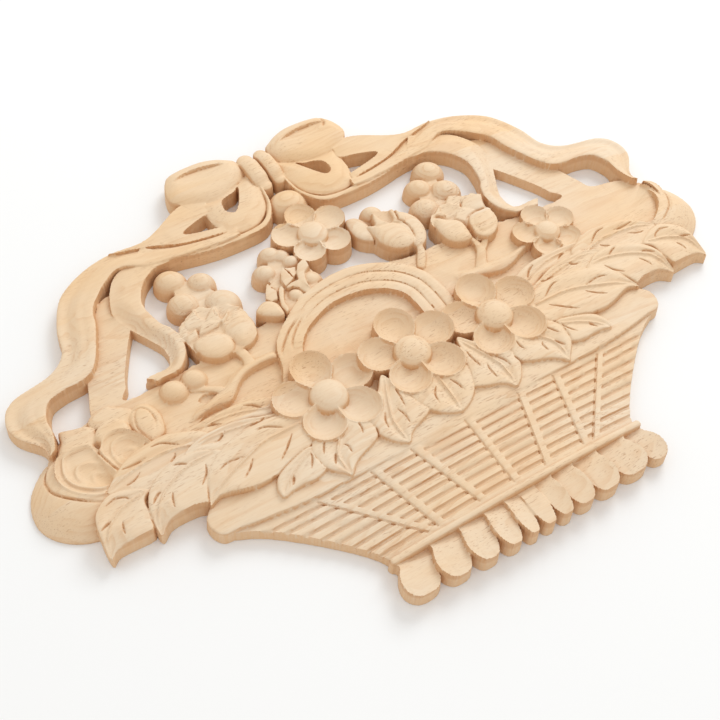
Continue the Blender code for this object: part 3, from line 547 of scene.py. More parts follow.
# %% Berries
BERRY_FOOT = 3.2
BERRY_SQUASH = 0.91
BERRY_TURN = -32.0
BERRIES = [
    (-89.0, 81.4, 9.9, 12.2), (-74.6, 72.0, 8.8, 12.2), (-90.2, 62.4, 9.8, 12.8),
    (-70.6, 53.4, 11.0, 12.6), (-31.0, 69.4, 7.8, 12.0), (-26.4, 66.0, 6.8, 11.4),
    (-40.4, 59.0, 7.8, 12.2), (-23.4, 58.4, 6.7, 12.2), (-20.2, 42.6, 7.9, 11.6),
    (-33.6, 35.6, 6.4, 12.2), (85.6, 79.8, 10.3, 12.4), (72.4, 70.5, 9.2, 12.4),
    (85.8, 61.4, 10.2, 12.6), (66.8, 54.6, 9.9, 12.6), (36.8, 67.2, 7.6, 11.8),
    (-120.6, 12.8, 8.9, 12.6), (-108.2, 14.2, 8.3, 12.6)]
KNOT_BERRY, KNOT_BERRY_RADII, KNOT_BERRY_TOP = (-1.2, 100.8), (12.4, 11.4), 12.4
WEBS = [
    ([(-87, 79), (-78, 74), (-70, 62), (-66, 50), (-88, 50), (-93, 64)], 8.0),
    ([(-32, 68), (-26, 64), (-21, 56), (-19, 48), (-38, 44), (-41, 56)], 8.4),
    ([(84, 79), (87, 64), (88, 50), (68, 48), (66, 56), (72, 70)], 8.0),
    ([(22, 66), (27, 68), (36, 64), (44, 60), (50, 40), (44, 32), (32, 36), (24, 50)], 6.6)]
for x, y, radius, top in BERRIES:
    dome((x, y), (radius, radius * BERRY_SQUASH), BERRY_FOOT, top, BERRY_TURN)
dome(KNOT_BERRY, KNOT_BERRY_RADII, BERRY_FOOT, KNOT_BERRY_TOP)
slabs(WEBS)
report("berries")

# %% Larger fruit
LEFT_FLAT = [(-99, 33), (-94.5, 35.3), (-89.5, 35.6), (-84.5, 34.2), (-80.2, 30), (-78.6, 24.5),
             (-80.2, 19.6), (-84, 17), (-89, 16.4), (-93.5, 18.2), (-97.3, 21.6), (-99.8, 26.5)]
LEFT_LOBE = [(-71, 43.6), (-66, 42), (-63, 36), (-62.6, 29.5), (-64.6, 23.6), (-69.5, 18.5),
             (-75, 17.4), (-79, 21), (-80, 26), (-81.5, 32), (-80.5, 37.4), (-76, 40)]
INNER_FLAT = [(-59.8, 34.6), (-56.5, 37.6), (-51.5, 39.2), (-47.6, 37), (-45.4, 33), (-45.2, 28),
              (-46.6, 24.4), (-50.4, 25), (-55, 28), (-58.6, 31)]
TULIP_LOBE = [(45, 62.5), (50, 60), (54, 56.5), (57.2, 50.5), (57.6, 43), (55.4, 36), (51.5, 31.5),
              (48, 30), (44, 31), (40, 42), (40, 56)]
TULIP_LEAF = [(19, 69), (24.5, 69), (28, 65.5), (29.5, 59.5), (29, 53), (26, 47), (22, 49),
              (18.5, 53), (17, 58), (17.5, 64)]
TULIP_BODY = [(26.6, 57.6), (32, 56), (38, 54.6), (43, 52.2), (46, 48), (47, 41.5), (46.2, 35),
              (43, 32.2), (38.5, 31.6), (33.5, 33.6), (29.4, 37.6), (26.6, 43), (26.4, 50)]
RIGHT_BEAN = [(62.4, 42.2), (66.5, 42.8), (69.8, 39.8), (72.5, 37.2), (75.5, 35.8), (78, 31.5),
              (77.6, 25), (76.4, 19.4), (73.5, 18), (69.5, 18.2), (65, 20.4), (61.8, 24.4),
              (60.6, 30), (60.8, 36.5)]
RIGHT_FLAT = [(97.3, 34.6), (98.3, 29), (97, 23), (94.3, 18.8), (90, 15.4), (86, 14),
              (82.2, 14.6), (79.4, 17.4), (78, 20.8), (78.4, 25), (80, 30), (83, 33.6),
              (88, 35), (92.8, 34.6)]
BASES = [
    ([(-97, 49.6), (-90, 53.6), (-79, 52), (-71, 48), (-64, 43), (-63, 30), (-66, 21),
      (-76, 17.5), (-90, 17.5), (-99, 24), (-101, 32), (-102, 44)], 10.4),
    ([(-50, 40), (-44.5, 48.5), (-37, 52), (-31, 54.5), (-24, 53.5), (-17.5, 52), (-16, 44),
      (-18, 37), (-26, 31), (-36, 29), (-44, 25), (-48, 32)], 9.4),
    ([(62, 42), (68, 48.5), (75, 51), (82, 53.4), (92, 48.6), (99, 44.4), (98, 34), (95, 20),
      (84, 15.5), (72, 19), (63, 25), (61.4, 34)], 9.8)]
FRUIT = [
    (LEFT_LOBE, 8.6, 13.0, 9.0), (LEFT_FLAT, 9.8, 13.8, 7.0), (INNER_FLAT, 10.0, 13.6, 4.5),
    (TULIP_LOBE, 9.2, 12.0, 6.0), (TULIP_LEAF, 8.6, 11.4, 4.5), (TULIP_BODY, 10.0, 14.4, 8.0),
    (RIGHT_BEAN, 10.0, 14.0, 6.0), (RIGHT_FLAT, 11.6, 13.4, 3.0)]
RIGHT_FACE = [(96, 31), (94.5, 22.5), (88.5, 18.5), (82.6, 19), (81.4, 24), (83.6, 29.6),
              (89, 32.4)]
slabs(BASES)
for row in FRUIT:
    pillow(*row)
pillow(RIGHT_FACE, 12.9, 14.4, 5.0, over=True)
report("fruit")

# %% Sepals
SEPAL_SLOPE = 0.6
SEPAL_ENDS = (-0.3, 1.1)
BULGE_REACH = 1.2


def plate(points, tip, foot, bulge):
    """Tilted plate; tip and foot are two of its places, with their heights."""
    fall = SEPAL_SLOPE * (tip[2] - foot[2])
    low = foot[2] + 0.5 * (tip[2] - foot[2] - fall)
    outline = np.array(points, float)
    part, x, y = window(outline)
    depth = depth_inside(outline, x, y)
    dx, dy = tip[0] - foot[0], tip[1] - foot[1]
    along = ((x - foot[0]) * dx + (y - foot[1]) * dy) / (dx * dx + dy * dy)
    height = low + fall * np.clip(along, *SEPAL_ENDS)
    lay(part, height + bulge * (1.0 - np.exp(-np.maximum(depth, 0.0) / BULGE_REACH)), depth)


LEFT_SEPALS = [
    ([(-88, 55), (-83.5, 54.6), (-79, 51), (-82, 45.5), (-88, 47.5)],
     (-84, 54, 11.8), (-85, 46, 9.6), -0.3),
    ([(-77.4, 50.5), (-70, 47.8), (-64.6, 43), (-70, 41), (-75, 40), (-78.4, 43)],
     (-69, 47, 12.4), (-77, 41, 9.8), -0.3),
    ([(-87.5, 54.2), (-88, 48.5), (-85.2, 43.4), (-90, 44.6), (-95.2, 49.2), (-91, 51.6)],
     (-87.5, 54, 13.2), (-90, 45, 10.8), 0.3),
    ([(-77.2, 50.2), (-77.6, 43.5), (-78, 37.6), (-81.5, 39.6), (-85.4, 42), (-85.2, 44.4),
      (-81.5, 48)], (-77.5, 50, 13.6), (-82, 40, 11.0), 0.3),
    ([(-96.5, 49.8), (-100.8, 46.8), (-102, 42), (-101, 36), (-98, 37), (-97, 43)],
     (-97, 50, 12.0), (-100, 36, 9.8), 0.4),
    ([(-96.4, 49), (-89.5, 47.4), (-85.2, 44), (-85.4, 41), (-91, 41.6), (-97.4, 43)],
     (-90, 48, 12.4), (-91, 41, 10.6), 0.3),
    ([(-100.4, 34.6), (-93.5, 36), (-86.5, 36), (-81.5, 36.6), (-79, 38.8), (-84, 42),
      (-90, 41.6), (-93, 37.5), (-92.6, 41.2), (-96, 40.6), (-99.6, 39.6)],
     (-86, 42, 13.0), (-88, 36, 11.4), 0.3),
    ([(-71, 44.4), (-74, 39.5), (-78.6, 36.4), (-79.4, 39), (-75.6, 41)],
     (-71, 44, 13.4), (-78, 37, 12.6), 0.4),
]
INNER_SEPALS = [
    ([(-36.5, 41.8), (-32, 43), (-27.6, 43), (-25.6, 39.4), (-24, 35), (-26.6, 33.4),
      (-28.6, 34.4), (-30, 38), (-32.6, 40.2), (-36, 40.4)],
     (-29, 43, 13.0), (-29, 36, 10.8), 0.0),
    ([(-44, 50), (-47.4, 45.6), (-50.4, 40), (-48.2, 36.8), (-44.2, 36.4), (-41.6, 42.5),
      (-43.4, 45)], (-44, 50, 13.0), (-46, 37, 11.0), 0.4),
    ([(-43, 47.6), (-39.5, 45), (-40.6, 42), (-42.4, 43)], (-40, 45, 10.6), (-42, 42, 9.8), 0.2),
    ([(-38.2, 44), (-41.6, 41), (-43.4, 37), (-45.4, 31.5), (-45, 25.4), (-42.4, 26.6),
      (-42, 32.5), (-40.6, 36), (-37.8, 41)], (-38, 44, 13.0), (-44, 28, 12.0), 0.4),
    ([(-30.8, 55), (-34, 52), (-36.4, 47.6), (-36.2, 42), (-32, 43.4), (-29.2, 45), (-30, 50)],
     (-31, 55, 13.4), (-33, 43, 11.6), 0.4),
    ([(-30.8, 55), (-28.5, 54), (-23.6, 52.8), (-25.8, 48), (-29, 45.2), (-29.5, 51)],
     (-26, 52, 11.0), (-30, 50, 12.4), -0.2),
    ([(-17, 53.2), (-19, 54), (-22.8, 52.6), (-26.4, 47.5), (-28, 42), (-24.6, 35.2),
      (-23.4, 42), (-21.8, 45.6), (-18.8, 47.2), (-17.4, 48)],
     (-19, 53, 13.4), (-26, 38, 11.6), 0.4),
]
TULIP_SEPALS = [
    ([(35.5, 66), (40, 64.8), (45, 62.4), (46, 58), (42.5, 53.6), (37, 54.4), (33.6, 56.6)],
     (40, 64, 12.4), (39, 55, 10.2), -0.4),
    ([(34.6, 64.6), (32.4, 60), (31, 53.6), (39.5, 52.4), (36.6, 56)],
     (34.6, 64.5, 14.6), (35, 53, 13.6), 0.2),
    ([(45.8, 61.6), (44.2, 60.6), (43.6, 55), (41.8, 52.4), (45, 50.6), (48.6, 49), (50.4, 52),
      (49, 58.6)], (46.4, 61.4, 13.8), (45, 51, 13.0), 0.2),
]
RIGHT_SEPALS = [
    ([(82.5, 53.8), (86, 52.6), (92.4, 48.4), (84.4, 43.6), (83, 45.4), (77.2, 49.8)],
     (82.5, 54, 13.2), (84, 45, 10.4), 0.1),
    ([(82.5, 43.2), (85, 45.8), (89, 48.6), (94.6, 48.6), (100.4, 44.6), (98, 40), (96.4, 35),
      (91, 35.6), (87.5, 39.2)], (95, 48, 13.0), (88, 37, 11.0), 0.4),
    ([(74, 50.6), (79, 48.4), (84, 44.6), (83.6, 41.6), (78.5, 39.4), (72.5, 39.8), (70, 42)],
     (79, 48, 13.2), (75, 41, 10.4), -0.6),
    ([(73.8, 50.2), (69.2, 47.4), (65.8, 44.6), (69.6, 40.6), (72.6, 41.6), (71, 45)],
     (73, 50, 13.4), (69, 42, 12.4), 0.3),
    ([(83.6, 42.2), (87.2, 39.6), (90.4, 36), (83, 34), (80, 31), (75.2, 36.8), (79, 39.8)],
     (84, 42, 12.0), (80, 33, 11.2), 0.3),
    ([(59.8, 38.5), (61.2, 42.4), (64.5, 45.2), (67.6, 45.4), (69, 43.6), (64.8, 42.6),
      (61.8, 39.6), (60.6, 34.6)], (66, 45, 13.2), (61, 38, 12.4), 0.3),
]
for row in LEFT_SEPALS + INNER_SEPALS + TULIP_SEPALS + RIGHT_SEPALS:
    plate(*row)
report("sepals")

# %% [markdown]
# The bunches are then sanded, because plates laid over one another look too crisp. Each cell
# of the grid is drawn towards the mean of its four neighbours. Only what is high takes part,
# so the walls of the openings stay upright. A few creases are cut after the sanding.

# %% Sanding
SAND_SHARE = 0.5
SAND_EDGE = 4.0
SANDED = [((-84, 44), 21, 8.0, 3), ((40, 57), 12, 8.0, 3), ((82, 42), 23, 8.0, 3)]
SEPAL_CREASES = [
    ([(-92.2, 41.5), (-92.8, 39), (-93.6, 35.6)], 1.4, 1.2),
    ([(-78, 42), (-79.4, 45), (-77.6, 49.6)], 1.2, 0.6),
    ([(47.4, 60.6), (46.6, 56), (45.6, 51.6)], 1.6, 1.6),
    ([(43, 53), (46.2, 51.4), (48.6, 47), (48.4, 41), (46.8, 35.4)], 1.6, 1.3),
    ([(84, 42.2), (84.6, 44), (87, 46)], 1.8, 1.6),
    ([(78.4, 32), (79, 26), (77.6, 20.6), (77.6, 16.6)], 1.8, 1.6)]


def neighbours(values):
    """Sum of the four neighbours of each cell."""
    wide = np.pad(values, 1)
    return wide[:-2, 1:-1] + wide[2:, 1:-1] + wide[1:-1, :-2] + wide[1:-1, 2:]


def sand(centre, reach, low, passes):
    """Soften the carving around a place; what is under low stays as it is."""
    part, x, y = around(centre, reach)
    from_centre = np.hypot(x - centre[0], y - centre[1])
    high = (Z[part] > low).astype(float)
    count = neighbours(high)
    share = SAND_SHARE * soft_step(-from_centre, -reach, SAND_EDGE) * high * (count > 0.0)
    for _ in range(passes):
        mean = neighbours(Z[part] * high) / np.maximum(count, 1.0)
        Z[part] += share * (mean - Z[part])


for row in SANDED:
    sand(*row)
for row in SEPAL_CREASES:
    groove(*row)
report("sanding")

# %% [markdown]
# Stems and a branch join the fruit to the basket. A branch is a band like a ribbon: it rises
# out of the ground on its upper side and ends in a wall over the ledge on its lower side.

# %% Stems and ledges
LEDGE_TOP, TWIG_TOP = 4.6, 5.0
LEFT_LEDGE = [(-114, -8.5), (-106, -7.5), (-98.5, -8), (-94.5, -6), (-90, -1.5), (-83.5, 2.6),
              (-75, 4.4), (-67, 4.4), (-62.6, 3), (-64.5, -3), (-66.5, -8), (-69.5, -14),
              (-80, -24), (-110, -26), (-122, -16)]
RIGHT_LEDGE = [(62, -4.5), (70, -6), (78.5, -7.6), (86.5, -6.6), (94, -3.8), (101, -1.4),
               (107, 0), (112, -8), (112, -16), (100, -22), (80, -24), (64, -18)]
TWIG_LEDGE = [(-101.5, 0.4), (-104, 2.6), (-108.5, 3.6), (-112, 1.5), (-109, -1.6), (-105, -1.8)]
BRANCH_RISE, BRANCH_CREST, BRANCH_ROLL = 2.4, 1.25, 1.6
slabs([(LEFT_LEDGE, LEDGE_TOP), (RIGHT_LEDGE, LEDGE_TOP), (TWIG_LEDGE, TWIG_TOP)], over=True)


def branch(across, along):
    """Rises from the ground to a rounded crest near the lower side."""
    climb = np.clip(1.0 + across, 0.0, BRANCH_CREST) / BRANCH_CREST
    rise = BRANCH_RISE * np.sin(0.5 * math.pi * climb)
    fade = soft_step(along, 0.0, 0.12) * soft_step(-along, -1.0, 0.06)
    roll = BRANCH_ROLL * np.clip((across - 0.3) / 0.7, 0.0, 1.0) ** 2
    return GROUND_TOP + rise * fade - roll


BRANCHES = [
    ([(-124, -7), (-116, -3.5), (-108.5, -1.5), (-101.5, 1), (-95, 3.8), (-91, 6.7), (-83, 9.7),
      (-75.5, 10.2), (-67, 10.4), (-60, 9.5)],
     [(-124, -11), (-114, -8), (-105.5, -7), (-98, -7.7), (-93.8, -5.2), (-89.5, -1), (-83, 3),
      (-75, 4.7), (-67, 4.7), (-61, 3)]),
    ([(52, 6), (63, 2.8), (68.5, 3), (73, 2.6), (82, 2), (89.5, 1.4), (95, 1.8), (100.5, 3.4),
      (107.5, 1)],
     [(52, -3), (64.5, -4.5), (70.5, -6), (78.5, -7.5), (86.5, -6.5), (94, -3.5), (101, -1),
      (107, -0.5)]),
]
STEM_CROWN = 1.5
STEMS = [
    [(-112, 9.5, 1.8, 6.6), (-105, 6, 2.0, 6.8), (-99, 1.5, 2.4, 7.2)],
    [(-79.5, 19.5, 3.2, 8.8), (-77.6, 14, 3.2, 8.2), (-77.5, 8, 3.4, 7.0)],
    [(75.6, 20, 1.8, 9.2), (76.6, 16, 2.2, 8.8), (76.4, 11, 3.0, 8.2), (74, 7, 3.2, 7.6),
     (70, 1.5, 3.6, 7.0)],
    [(84.8, 17.4, 1.8, 9.2), (81.5, 14.4, 2.2, 8.8), (77.5, 11.4, 2.6, 8.0)],
    [(46.9, 31.5, 2.2, 8.8), (45.4, 27, 2.7, 8.4), (43, 23.3, 2.9, 7.8), (40.4, 19.4, 2.8, 7.0)]]
PITS = ((-102.3, 25.6), (101.8, 26.2))
PIT_RADII, PIT_TURN = (2.2, 3.0), 60.0
PIT_FLOOR, PIT_SLOPE, PIT_SUNK = 1.0, 12.0, 6.0
for upper, lower in BRANCHES:
    band(upper, lower, branch)
for rows in STEMS:
    cord(rows, STEM_CROWN)
for pit in PITS:
    part, x, y = around(pit, 4.0)
    out = oval(x, y, pit, PIT_RADII, PIT_TURN)
    Z[part] = np.minimum(Z[part], np.maximum(PIT_FLOOR, PIT_SLOPE * out - PIT_SUNK))
report("stems")

# %% [markdown]
# ## Flowers
#
# A petal is a spoon: a thin lip, and a hollow that curves down evenly from it. Near the ball
# it fills its fifth of the circle, so neighbours share a crest there; further out it is round
# and a gap opens. The ball is only joined to the petals, and so rests in their hollows.

# %% Petals
FIFTHS = (18.0, 162.0, 234.0, 306.0, 90.0)
BOWL_CURVE, BOWL_REACH = 2.6, 0.95
LIP, LIP_FALL = 0.9, 0.5
PETAL_TILT = 0.05
WEDGE = 1.2
PETAL_FOOT = (0.06, 0.30)
PETAL_ROUND = (115.0, 95.0, 75.0, 55.0, 35.0, 17.0)
BALL_LOWER, BALL_SUNK = 0.6, 0.8


def spoon(outline, rim, deep, reach, over, centre):
    """Hollow that curves down from a thin lip and is tilted away from a centre."""
    part, x, y = window(outline)
    depth = depth_inside(outline, x, y)
    bend = 1.0 - np.clip(depth / reach, 0.0, 1.0)
    lip = LIP_FALL * np.clip(1.0 - depth / LIP, 0.0, 1.0) ** 2
    hollow = deep * (1.0 - bend ** BOWL_CURVE) + lip
    away = np.hypot(x - centre[0], y - centre[1])
    put(part, rim + PETAL_TILT * (away - reach) - hollow, depth, over)


def petal(centre, turn, length, half):
    """Outline of a petal that starts at the middle of its flower."""
    angle = math.radians(turn)
    ux, uy = math.cos(angle), math.sin(angle)
    wedge = WEDGE * math.tan(math.pi / len(FIFTHS))
    shape = [(share * length, share * length * wedge) for share in PETAL_FOOT]
    for step in PETAL_ROUND:
        bow = math.radians(step)
        shape.append((length - half + half * math.cos(bow), half * math.sin(bow)))
    shape += [(length, 0.0)] + [(along, -aside) for along, aside in shape[::-1]]
    return ring([(centre[0] + ux * along - uy * aside, centre[1] + uy * along + ux * aside)
                 for along, aside in shape])


def flower(centre, reach, half, rim, deep, ball, top, over=False):
    """Five petals around a ball; reach is how far they go across and up."""
    for turn in FIFTHS:
        up = abs(math.sin(math.radians(turn)))
        outline = petal(centre, turn, reach[0] + (reach[1] - reach[0]) * up, half)
        spoon(outline, rim, deep, BOWL_REACH * half, over, centre)
    dome((centre[0], centre[1] - BALL_LOWER), (ball, ball), rim - BALL_SUNK * deep, top)


SMALL_FLOWERS = [((-2.2, 70.6), (25.2, 24.0), 9.9, 12.6, 4.3, 9.4, 14.2),
                 ((118.0, 2.6), (22.2, 21.0), 9.0, 12.0, 4.2, 7.9, 13.4)]
for row in SMALL_FLOWERS:
    flower(*row)
report("small flowers")

# %% [markdown]
# ## The handle
#
# Three reeds side by side make the arched handle. Their grooves are steep on the outer side,
# where the gouge was set upright, and shallow on the left, where they fade into the ground.
# The panel inside it is cut to the same depth as the ground, and both ends of the handle run
# down behind the large flowers.

# %% Handle
HANDLE_FAR = [(-73, -18), (-69.3, -12), (-66.5, -7), (-64.3, -2.5), (-63, 3), (-61.5, 8.5),
              (-56, 16.5), (-38, 30), (-28, 34.5), (-8, 38.3), (10, 36), (28, 26.5), (38, 14),
              (41, 4), (41.8, -8), (41, -24)]
HANDLE_NEAR = [(-60, -20), (-57, -14), (-52.5, -6), (-49.5, -1), (-47.5, 3), (-42, 9),
               (-35, 13.5), (-20, 19), (-3, 18.6), (8, 14.8), (15, 9.8), (19.3, 3), (20.3, -8),
               (20.5, -24)]
HANDLE_TOP = 10.3
REEDS = 3
REED_CROWN, REED_FALL, REED_MEAN = 1.5, 0.5, 0.4
END_CLEAR, END_FALL = 0.12, 2.2
OUTSIDE_FALL = 1.1
HANDLE_CUTS = [
    ([(-60.5, 3.5), (-58.6, 6.5), (-53.6, 11.8), (-48.2, 16.3), (-40, 21)], 1.8, 1.3),
    ([(-53.8, 4), (-51.8, 7.5), (-49, 11.2), (-43.6, 16), (-37.3, 20.6)], 1.8, 1.1)]


def handle_section(across, along):
    """Reeds with a steep outer side; the outermost rounds down to the ground at the left."""
    place = REEDS * (0.5 + 0.5 * np.clip(across, -1.0, 0.999))
    within = place - np.floor(place)
    reed = REED_CROWN * np.sqrt(np.clip(within * 2.2, 0.0, 1.0)) - REED_FALL * within ** 2
    clear = END_CLEAR + (1.0 - END_CLEAR) * soft_step(along, 0.18, 0.3)
    fading = END_FALL * soft_step(-along, -0.24, 0.2)
    edge = OUTSIDE_FALL * soft_step(-across, 0.93, 0.07)
    return HANDLE_TOP + clear * (reed - REED_MEAN) - fading - edge


band(HANDLE_FAR, HANDLE_NEAR, handle_section)
for row in HANDLE_CUTS:
    groove(*row)
report("handle")

# %% [markdown]
# ## The ears
#
# On the left ear a hollow rose is carved, its bowls one inside the other. The right ear is
# plain, with a step along its rim. That the two differ is not an error: both are on the one
# board that is being copied.

# %% Left ear
EAR_DEPTH, EAR_CURVE = 1.4, 2.4
EAR_LIP, EAR_LIP_FALL = 0.8, 0.4


def bowl(points, rim, deep, reach, fall):
    """Hollow laid over what is there; its rim may fall to one side."""
    outline = ring(points)
    part, x, y = window(outline)
    depth = depth_inside(outline, x, y)
    bend = 1.0 - np.clip(depth / reach, 0.0, 1.0)
    middle = outline.mean(axis=0)
    slope = fall[0] * (x - middle[0]) + fall[1] * (y - middle[1])
    lip = EAR_LIP_FALL * np.clip(1.0 - depth / EAR_LIP, 0.0, 1.0)
    lay(part, rim + slope - EAR_DEPTH * deep * (1.0 - bend ** EAR_CURVE) - lip, depth)


EAR_LOBES = [
    ([(-165, 20.5), (-159.5, 22.3), (-154.5, 22.5), (-151, 20), (-144, 13.5), (-148, 8),
      (-150, 4.5), (-156, 8), (-165, 11), (-168, 16.5)], 7.5, 10.2, 6.0),
    ([(-183.5, 18.5), (-181.5, 20), (-174.5, 18), (-169, 16.6), (-165.3, 12.5), (-167, 8),
      (-169.5, 3), (-176, 2), (-184, 2), (-189, 4.5), (-187.8, 9), (-184.5, 13)], 7.0, 10.4, 5.0),
    ([(-169, 6), (-166.2, 10.3), (-162, 12.9), (-156, 13), (-151.5, 10), (-149.5, 4.5),
      (-151, 0), (-160, 0), (-167, 1)], 8.5, 11.4, 4.0),
    ([(-149, 8.5), (-146.5, 12.3), (-141.5, 15), (-136.5, 13), (-133.5, 8), (-132.8, 0.5),
      (-136, -8), (-144, -11.5), (-148, -5), (-150, 3)], 7.5, 11.0, 8.0),
]
EAR_BOWLS = [
    ([(-189.5, 4.5), (-193, -0.5), (-194.3, -7), (-192.5, -14), (-187, -21), (-179, -26),
      (-170, -26), (-165, -20), (-168, -10), (-170, 2), (-176, 6), (-184, 6)],
     12.6, 2.6, 5.0, (-0.01, -0.03)),
    ([(-187, 3.4), (-189.6, -2), (-190.4, -8.5), (-187.6, -15), (-182, -20.2), (-176, -23.4),
      (-171.5, -22.5), (-166.5, -18.5), (-168, -13.5), (-169.5, -9), (-170, -4), (-170, 1),
      (-172, 3.8), (-176.5, 5.3), (-182.5, 5)], 12.0, 2.4, 5.0, (0.0, -0.05)),
    ([(-185, -7), (-182, -3.6), (-176.5, -4.6), (-172, -7.4), (-170.5, -12.5), (-171, -20.5),
      (-175, -21.8), (-181, -18), (-185, -12.5)], 10.0, 1.6, 5.0, (-0.04, 0.04)),
    ([(-178, -11.3), (-174.5, -11.6), (-171.5, -14.5), (-170, -18.5), (-172, -22), (-176.5, -20.6),
      (-179, -16.5)], 9.0, 1.3, 3.5, (-0.06, 0.06)),
    ([(-170.2, -5), (-168, 0.3), (-163.8, 4.4), (-158.5, 5), (-153, 2.9), (-148.3, -2.2),
      (-145.5, -8), (-145, -12), (-151, -15), (-157, -17), (-163, -18), (-167, -19),
      (-168.5, -11.5)], 12.8, 2.6, 5.0, (0.0, 0.03)),
    ([(-164.4, -4.5), (-161.8, -0.2), (-157.5, 1), (-152.2, -0.6), (-148.6, -5), (-147.5, -9),
      (-153, -14), (-159, -15), (-163, -15), (-165, -9)], 11.0, 1.8, 4.5, (0.0, 0.03)),
    ([(-161.8, -9.8), (-160, -6.6), (-156.3, -6.4), (-152.5, -9), (-156, -13.5), (-160, -13.5)],
     9.6, 1.0, 3.0, (0.0, 0.0)),
]
EAR_SANDED = ((-172, -12), 23, 4.0, 4)
EAR_CUTS = [
    ([(-189.8, 6.8), (-194.3, 5), (-198, 1), (-199.6, -4), (-199, -11), (-195, -17.5),
      (-187.5, -24.2), (-180, -29.4)], 2.0, 1.6),
    ([(-146, -5), (-147, 2), (-144.5, 9.5), (-141, 11.5), (-137.8, 8), (-137, 1), (-139.5, -5)],
     1.8, 0.9),
    ([(-171.5, 3.5), (-170.3, 0), (-169.8, -4), (-168.6, -9), (-167, -14), (-165, -18)],
     2.2, 2.2)]
for row in EAR_LOBES:
    pillow(*row)
for row in EAR_BOWLS:
    bowl(*row)
sand(*EAR_SANDED)
for row in EAR_CUTS:
    groove(*row)
report("left ear")

# %% Right ear
RIM_FOOT = [(191.5, 4.5), (193, -1), (193, -6), (190.5, -12.5), (185.2, -18.3), (176, -23.5)]
RIM_CREST = [(193, 5.5), (195.6, 0), (195.6, -7), (192.5, -14), (186, -20), (176, -26)]
RIM_OUTSIDE = [(196.5, 6), (200.3, 0), (200.8, -6), (198.5, -13.5), (193, -20.5), (186, -26),
               (177, -30)]
EAR_RISE = 3.6
EAR_GROUND = [(165, 12), (191.5, 5), (193, -1), (193, -6), (190.5, -12.5), (185.2, -18.3),
              (176, -23.5), (160, -24)]
EDGE_ROUNDING = 7.0
ROUNDED_FROM = 192.0
RIM_CURVE, RIM_ROLL = 1.4, 1.0
RIM_CUTS = [
    ([(199, 0), (200.2, -5), (198.6, -12), (194, -18.8), (187, -24), (179, -28)], 1.6, 1.1),
    ([(201.2, -2), (201.6, -6), (200, -13), (195.2, -20), (188, -25.4)], 1.2, 0.5)]


def rim_slope(across, _):
    """Concave slope that climbs from the ground to the rim of the ear."""
    return GROUND_TOP + EAR_RISE * np.clip(0.5 + 0.5 * across, 0.0, 1.0) ** RIM_CURVE


def rim_back(across, _):
    """Rounded back of the rim, down to the disc."""
    return GROUND_TOP + EAR_RISE - RIM_ROLL * np.clip(0.5 + 0.5 * across, 0.0, 1.0) ** 2


slab(ring(EAR_GROUND), GROUND_TOP, over=True)
band(RIM_CREST, RIM_OUTSIDE, rim_back)
band(RIM_FOOT, RIM_CREST, rim_slope)
for row in RIM_CUTS:
    groove(*row)
part, x, y = window([(188, 10), (214, -48)])
depth = depth_inside(ring(EAR_EDGE), x, y)
bend = 1.0 - np.clip(depth / EDGE_ROUNDING, 0.0, 1.0)
rounded = EAR_EDGE_TOP + (EAR_TOP - EAR_EDGE_TOP) * np.sqrt(1.0 - bend ** 2)
outer = (depth > 0.0) & (x >= ROUNDED_FROM)
Z[part] = np.where(outer, np.minimum(Z[part], rounded), Z[part])
report("right ear")

# %% [markdown]
# ## Leaves
#
# The leaves were cut with a gouge: one sweep on each side of the midrib leaves the rib
# standing, and short cuts part the leaf into lobes. They overlap like tiles, so each leaf is
# laid over the ones before it. Leaves at the outer ends bend down to their tips.

# %% Bed under the leaves
LEAF_BED = [(0, -20), (62, -14), (90, -17), (125, -16), (150, -14), (163, -19), (174, -28),
            (181, -33), (186, -41), (187, -52), (166, -53), (158, -53), (134, -55),
            (110, -60), (74, -52), (0, -50)]
BED_TOP = 9.2
for side in (1, -1):
    slab(ring(flip(LEAF_BED, side)), BED_TOP)
report("bed")

# %% One leaf
TIP_REACH = 17.0
BELLY = 0.7
SWEEP_DEPTH, SWEEP_SHARE = 0.9, 0.55
RIB_RISE, RIB_HALF = 0.8, 0.8
ROLL_WIDTH, ROLL_FALL = 1.2, 0.5
NICK_WIDTH, NICK_DEPTH = 1.3, 1.4


def nick(points):
    """Narrow crescent cut that runs out to nothing at both ends."""
    path = curve(points)
    part, x, y = window(path)
    distance, row = nearest(path, x, y)
    swell = np.sqrt(np.sin(math.pi * np.clip(row / (len(path) - 1), 0.001, 0.999)))
    share = np.clip(1.0 - distance / (0.5 * NICK_WIDTH * swell + 0.1), 0.0, 1.0)
    Z[part] -= NICK_DEPTH * swell * share


def leaf(outline, rib, top, droop, nicks, side=1):
    """Leaf laid over the board; its rib is given from the tip."""
    edge = ring(flip(outline, side))
    midrib = flip(rib, side)
    part, x, y = window(edge)
    depth = depth_inside(edge, x, y)
    from_rib = nearest(curve(midrib), x, y)[0]
    inner = np.maximum(depth, 0.0)
    across = from_rib / np.maximum(inner + from_rib, 1e-3)
    belly = BELLY * np.sin(math.pi * across ** 1.3)
    sweep = SWEEP_DEPTH * np.clip(1.0 - across / SWEEP_SHARE, 0.0, 1.0) * smooth(from_rib / 2.0)
    rise = RIB_RISE * np.clip(1.0 - from_rib / RIB_HALF, 0.0, 1.0) * smooth(inner / 4.0)
    roll = ROLL_FALL * (1.0 - np.clip(inner / ROLL_WIDTH, 0.0, 1.0)) ** 2
    from_tip = np.hypot(x - midrib[0][0], y - midrib[0][1])
    bend = droop * (1.0 - smooth(from_tip / TIP_REACH))
    lay(part, height_of(top, x, y) + belly - sweep + rise - roll - bend, depth)
    for points in nicks:
        nick(flip(points, side))


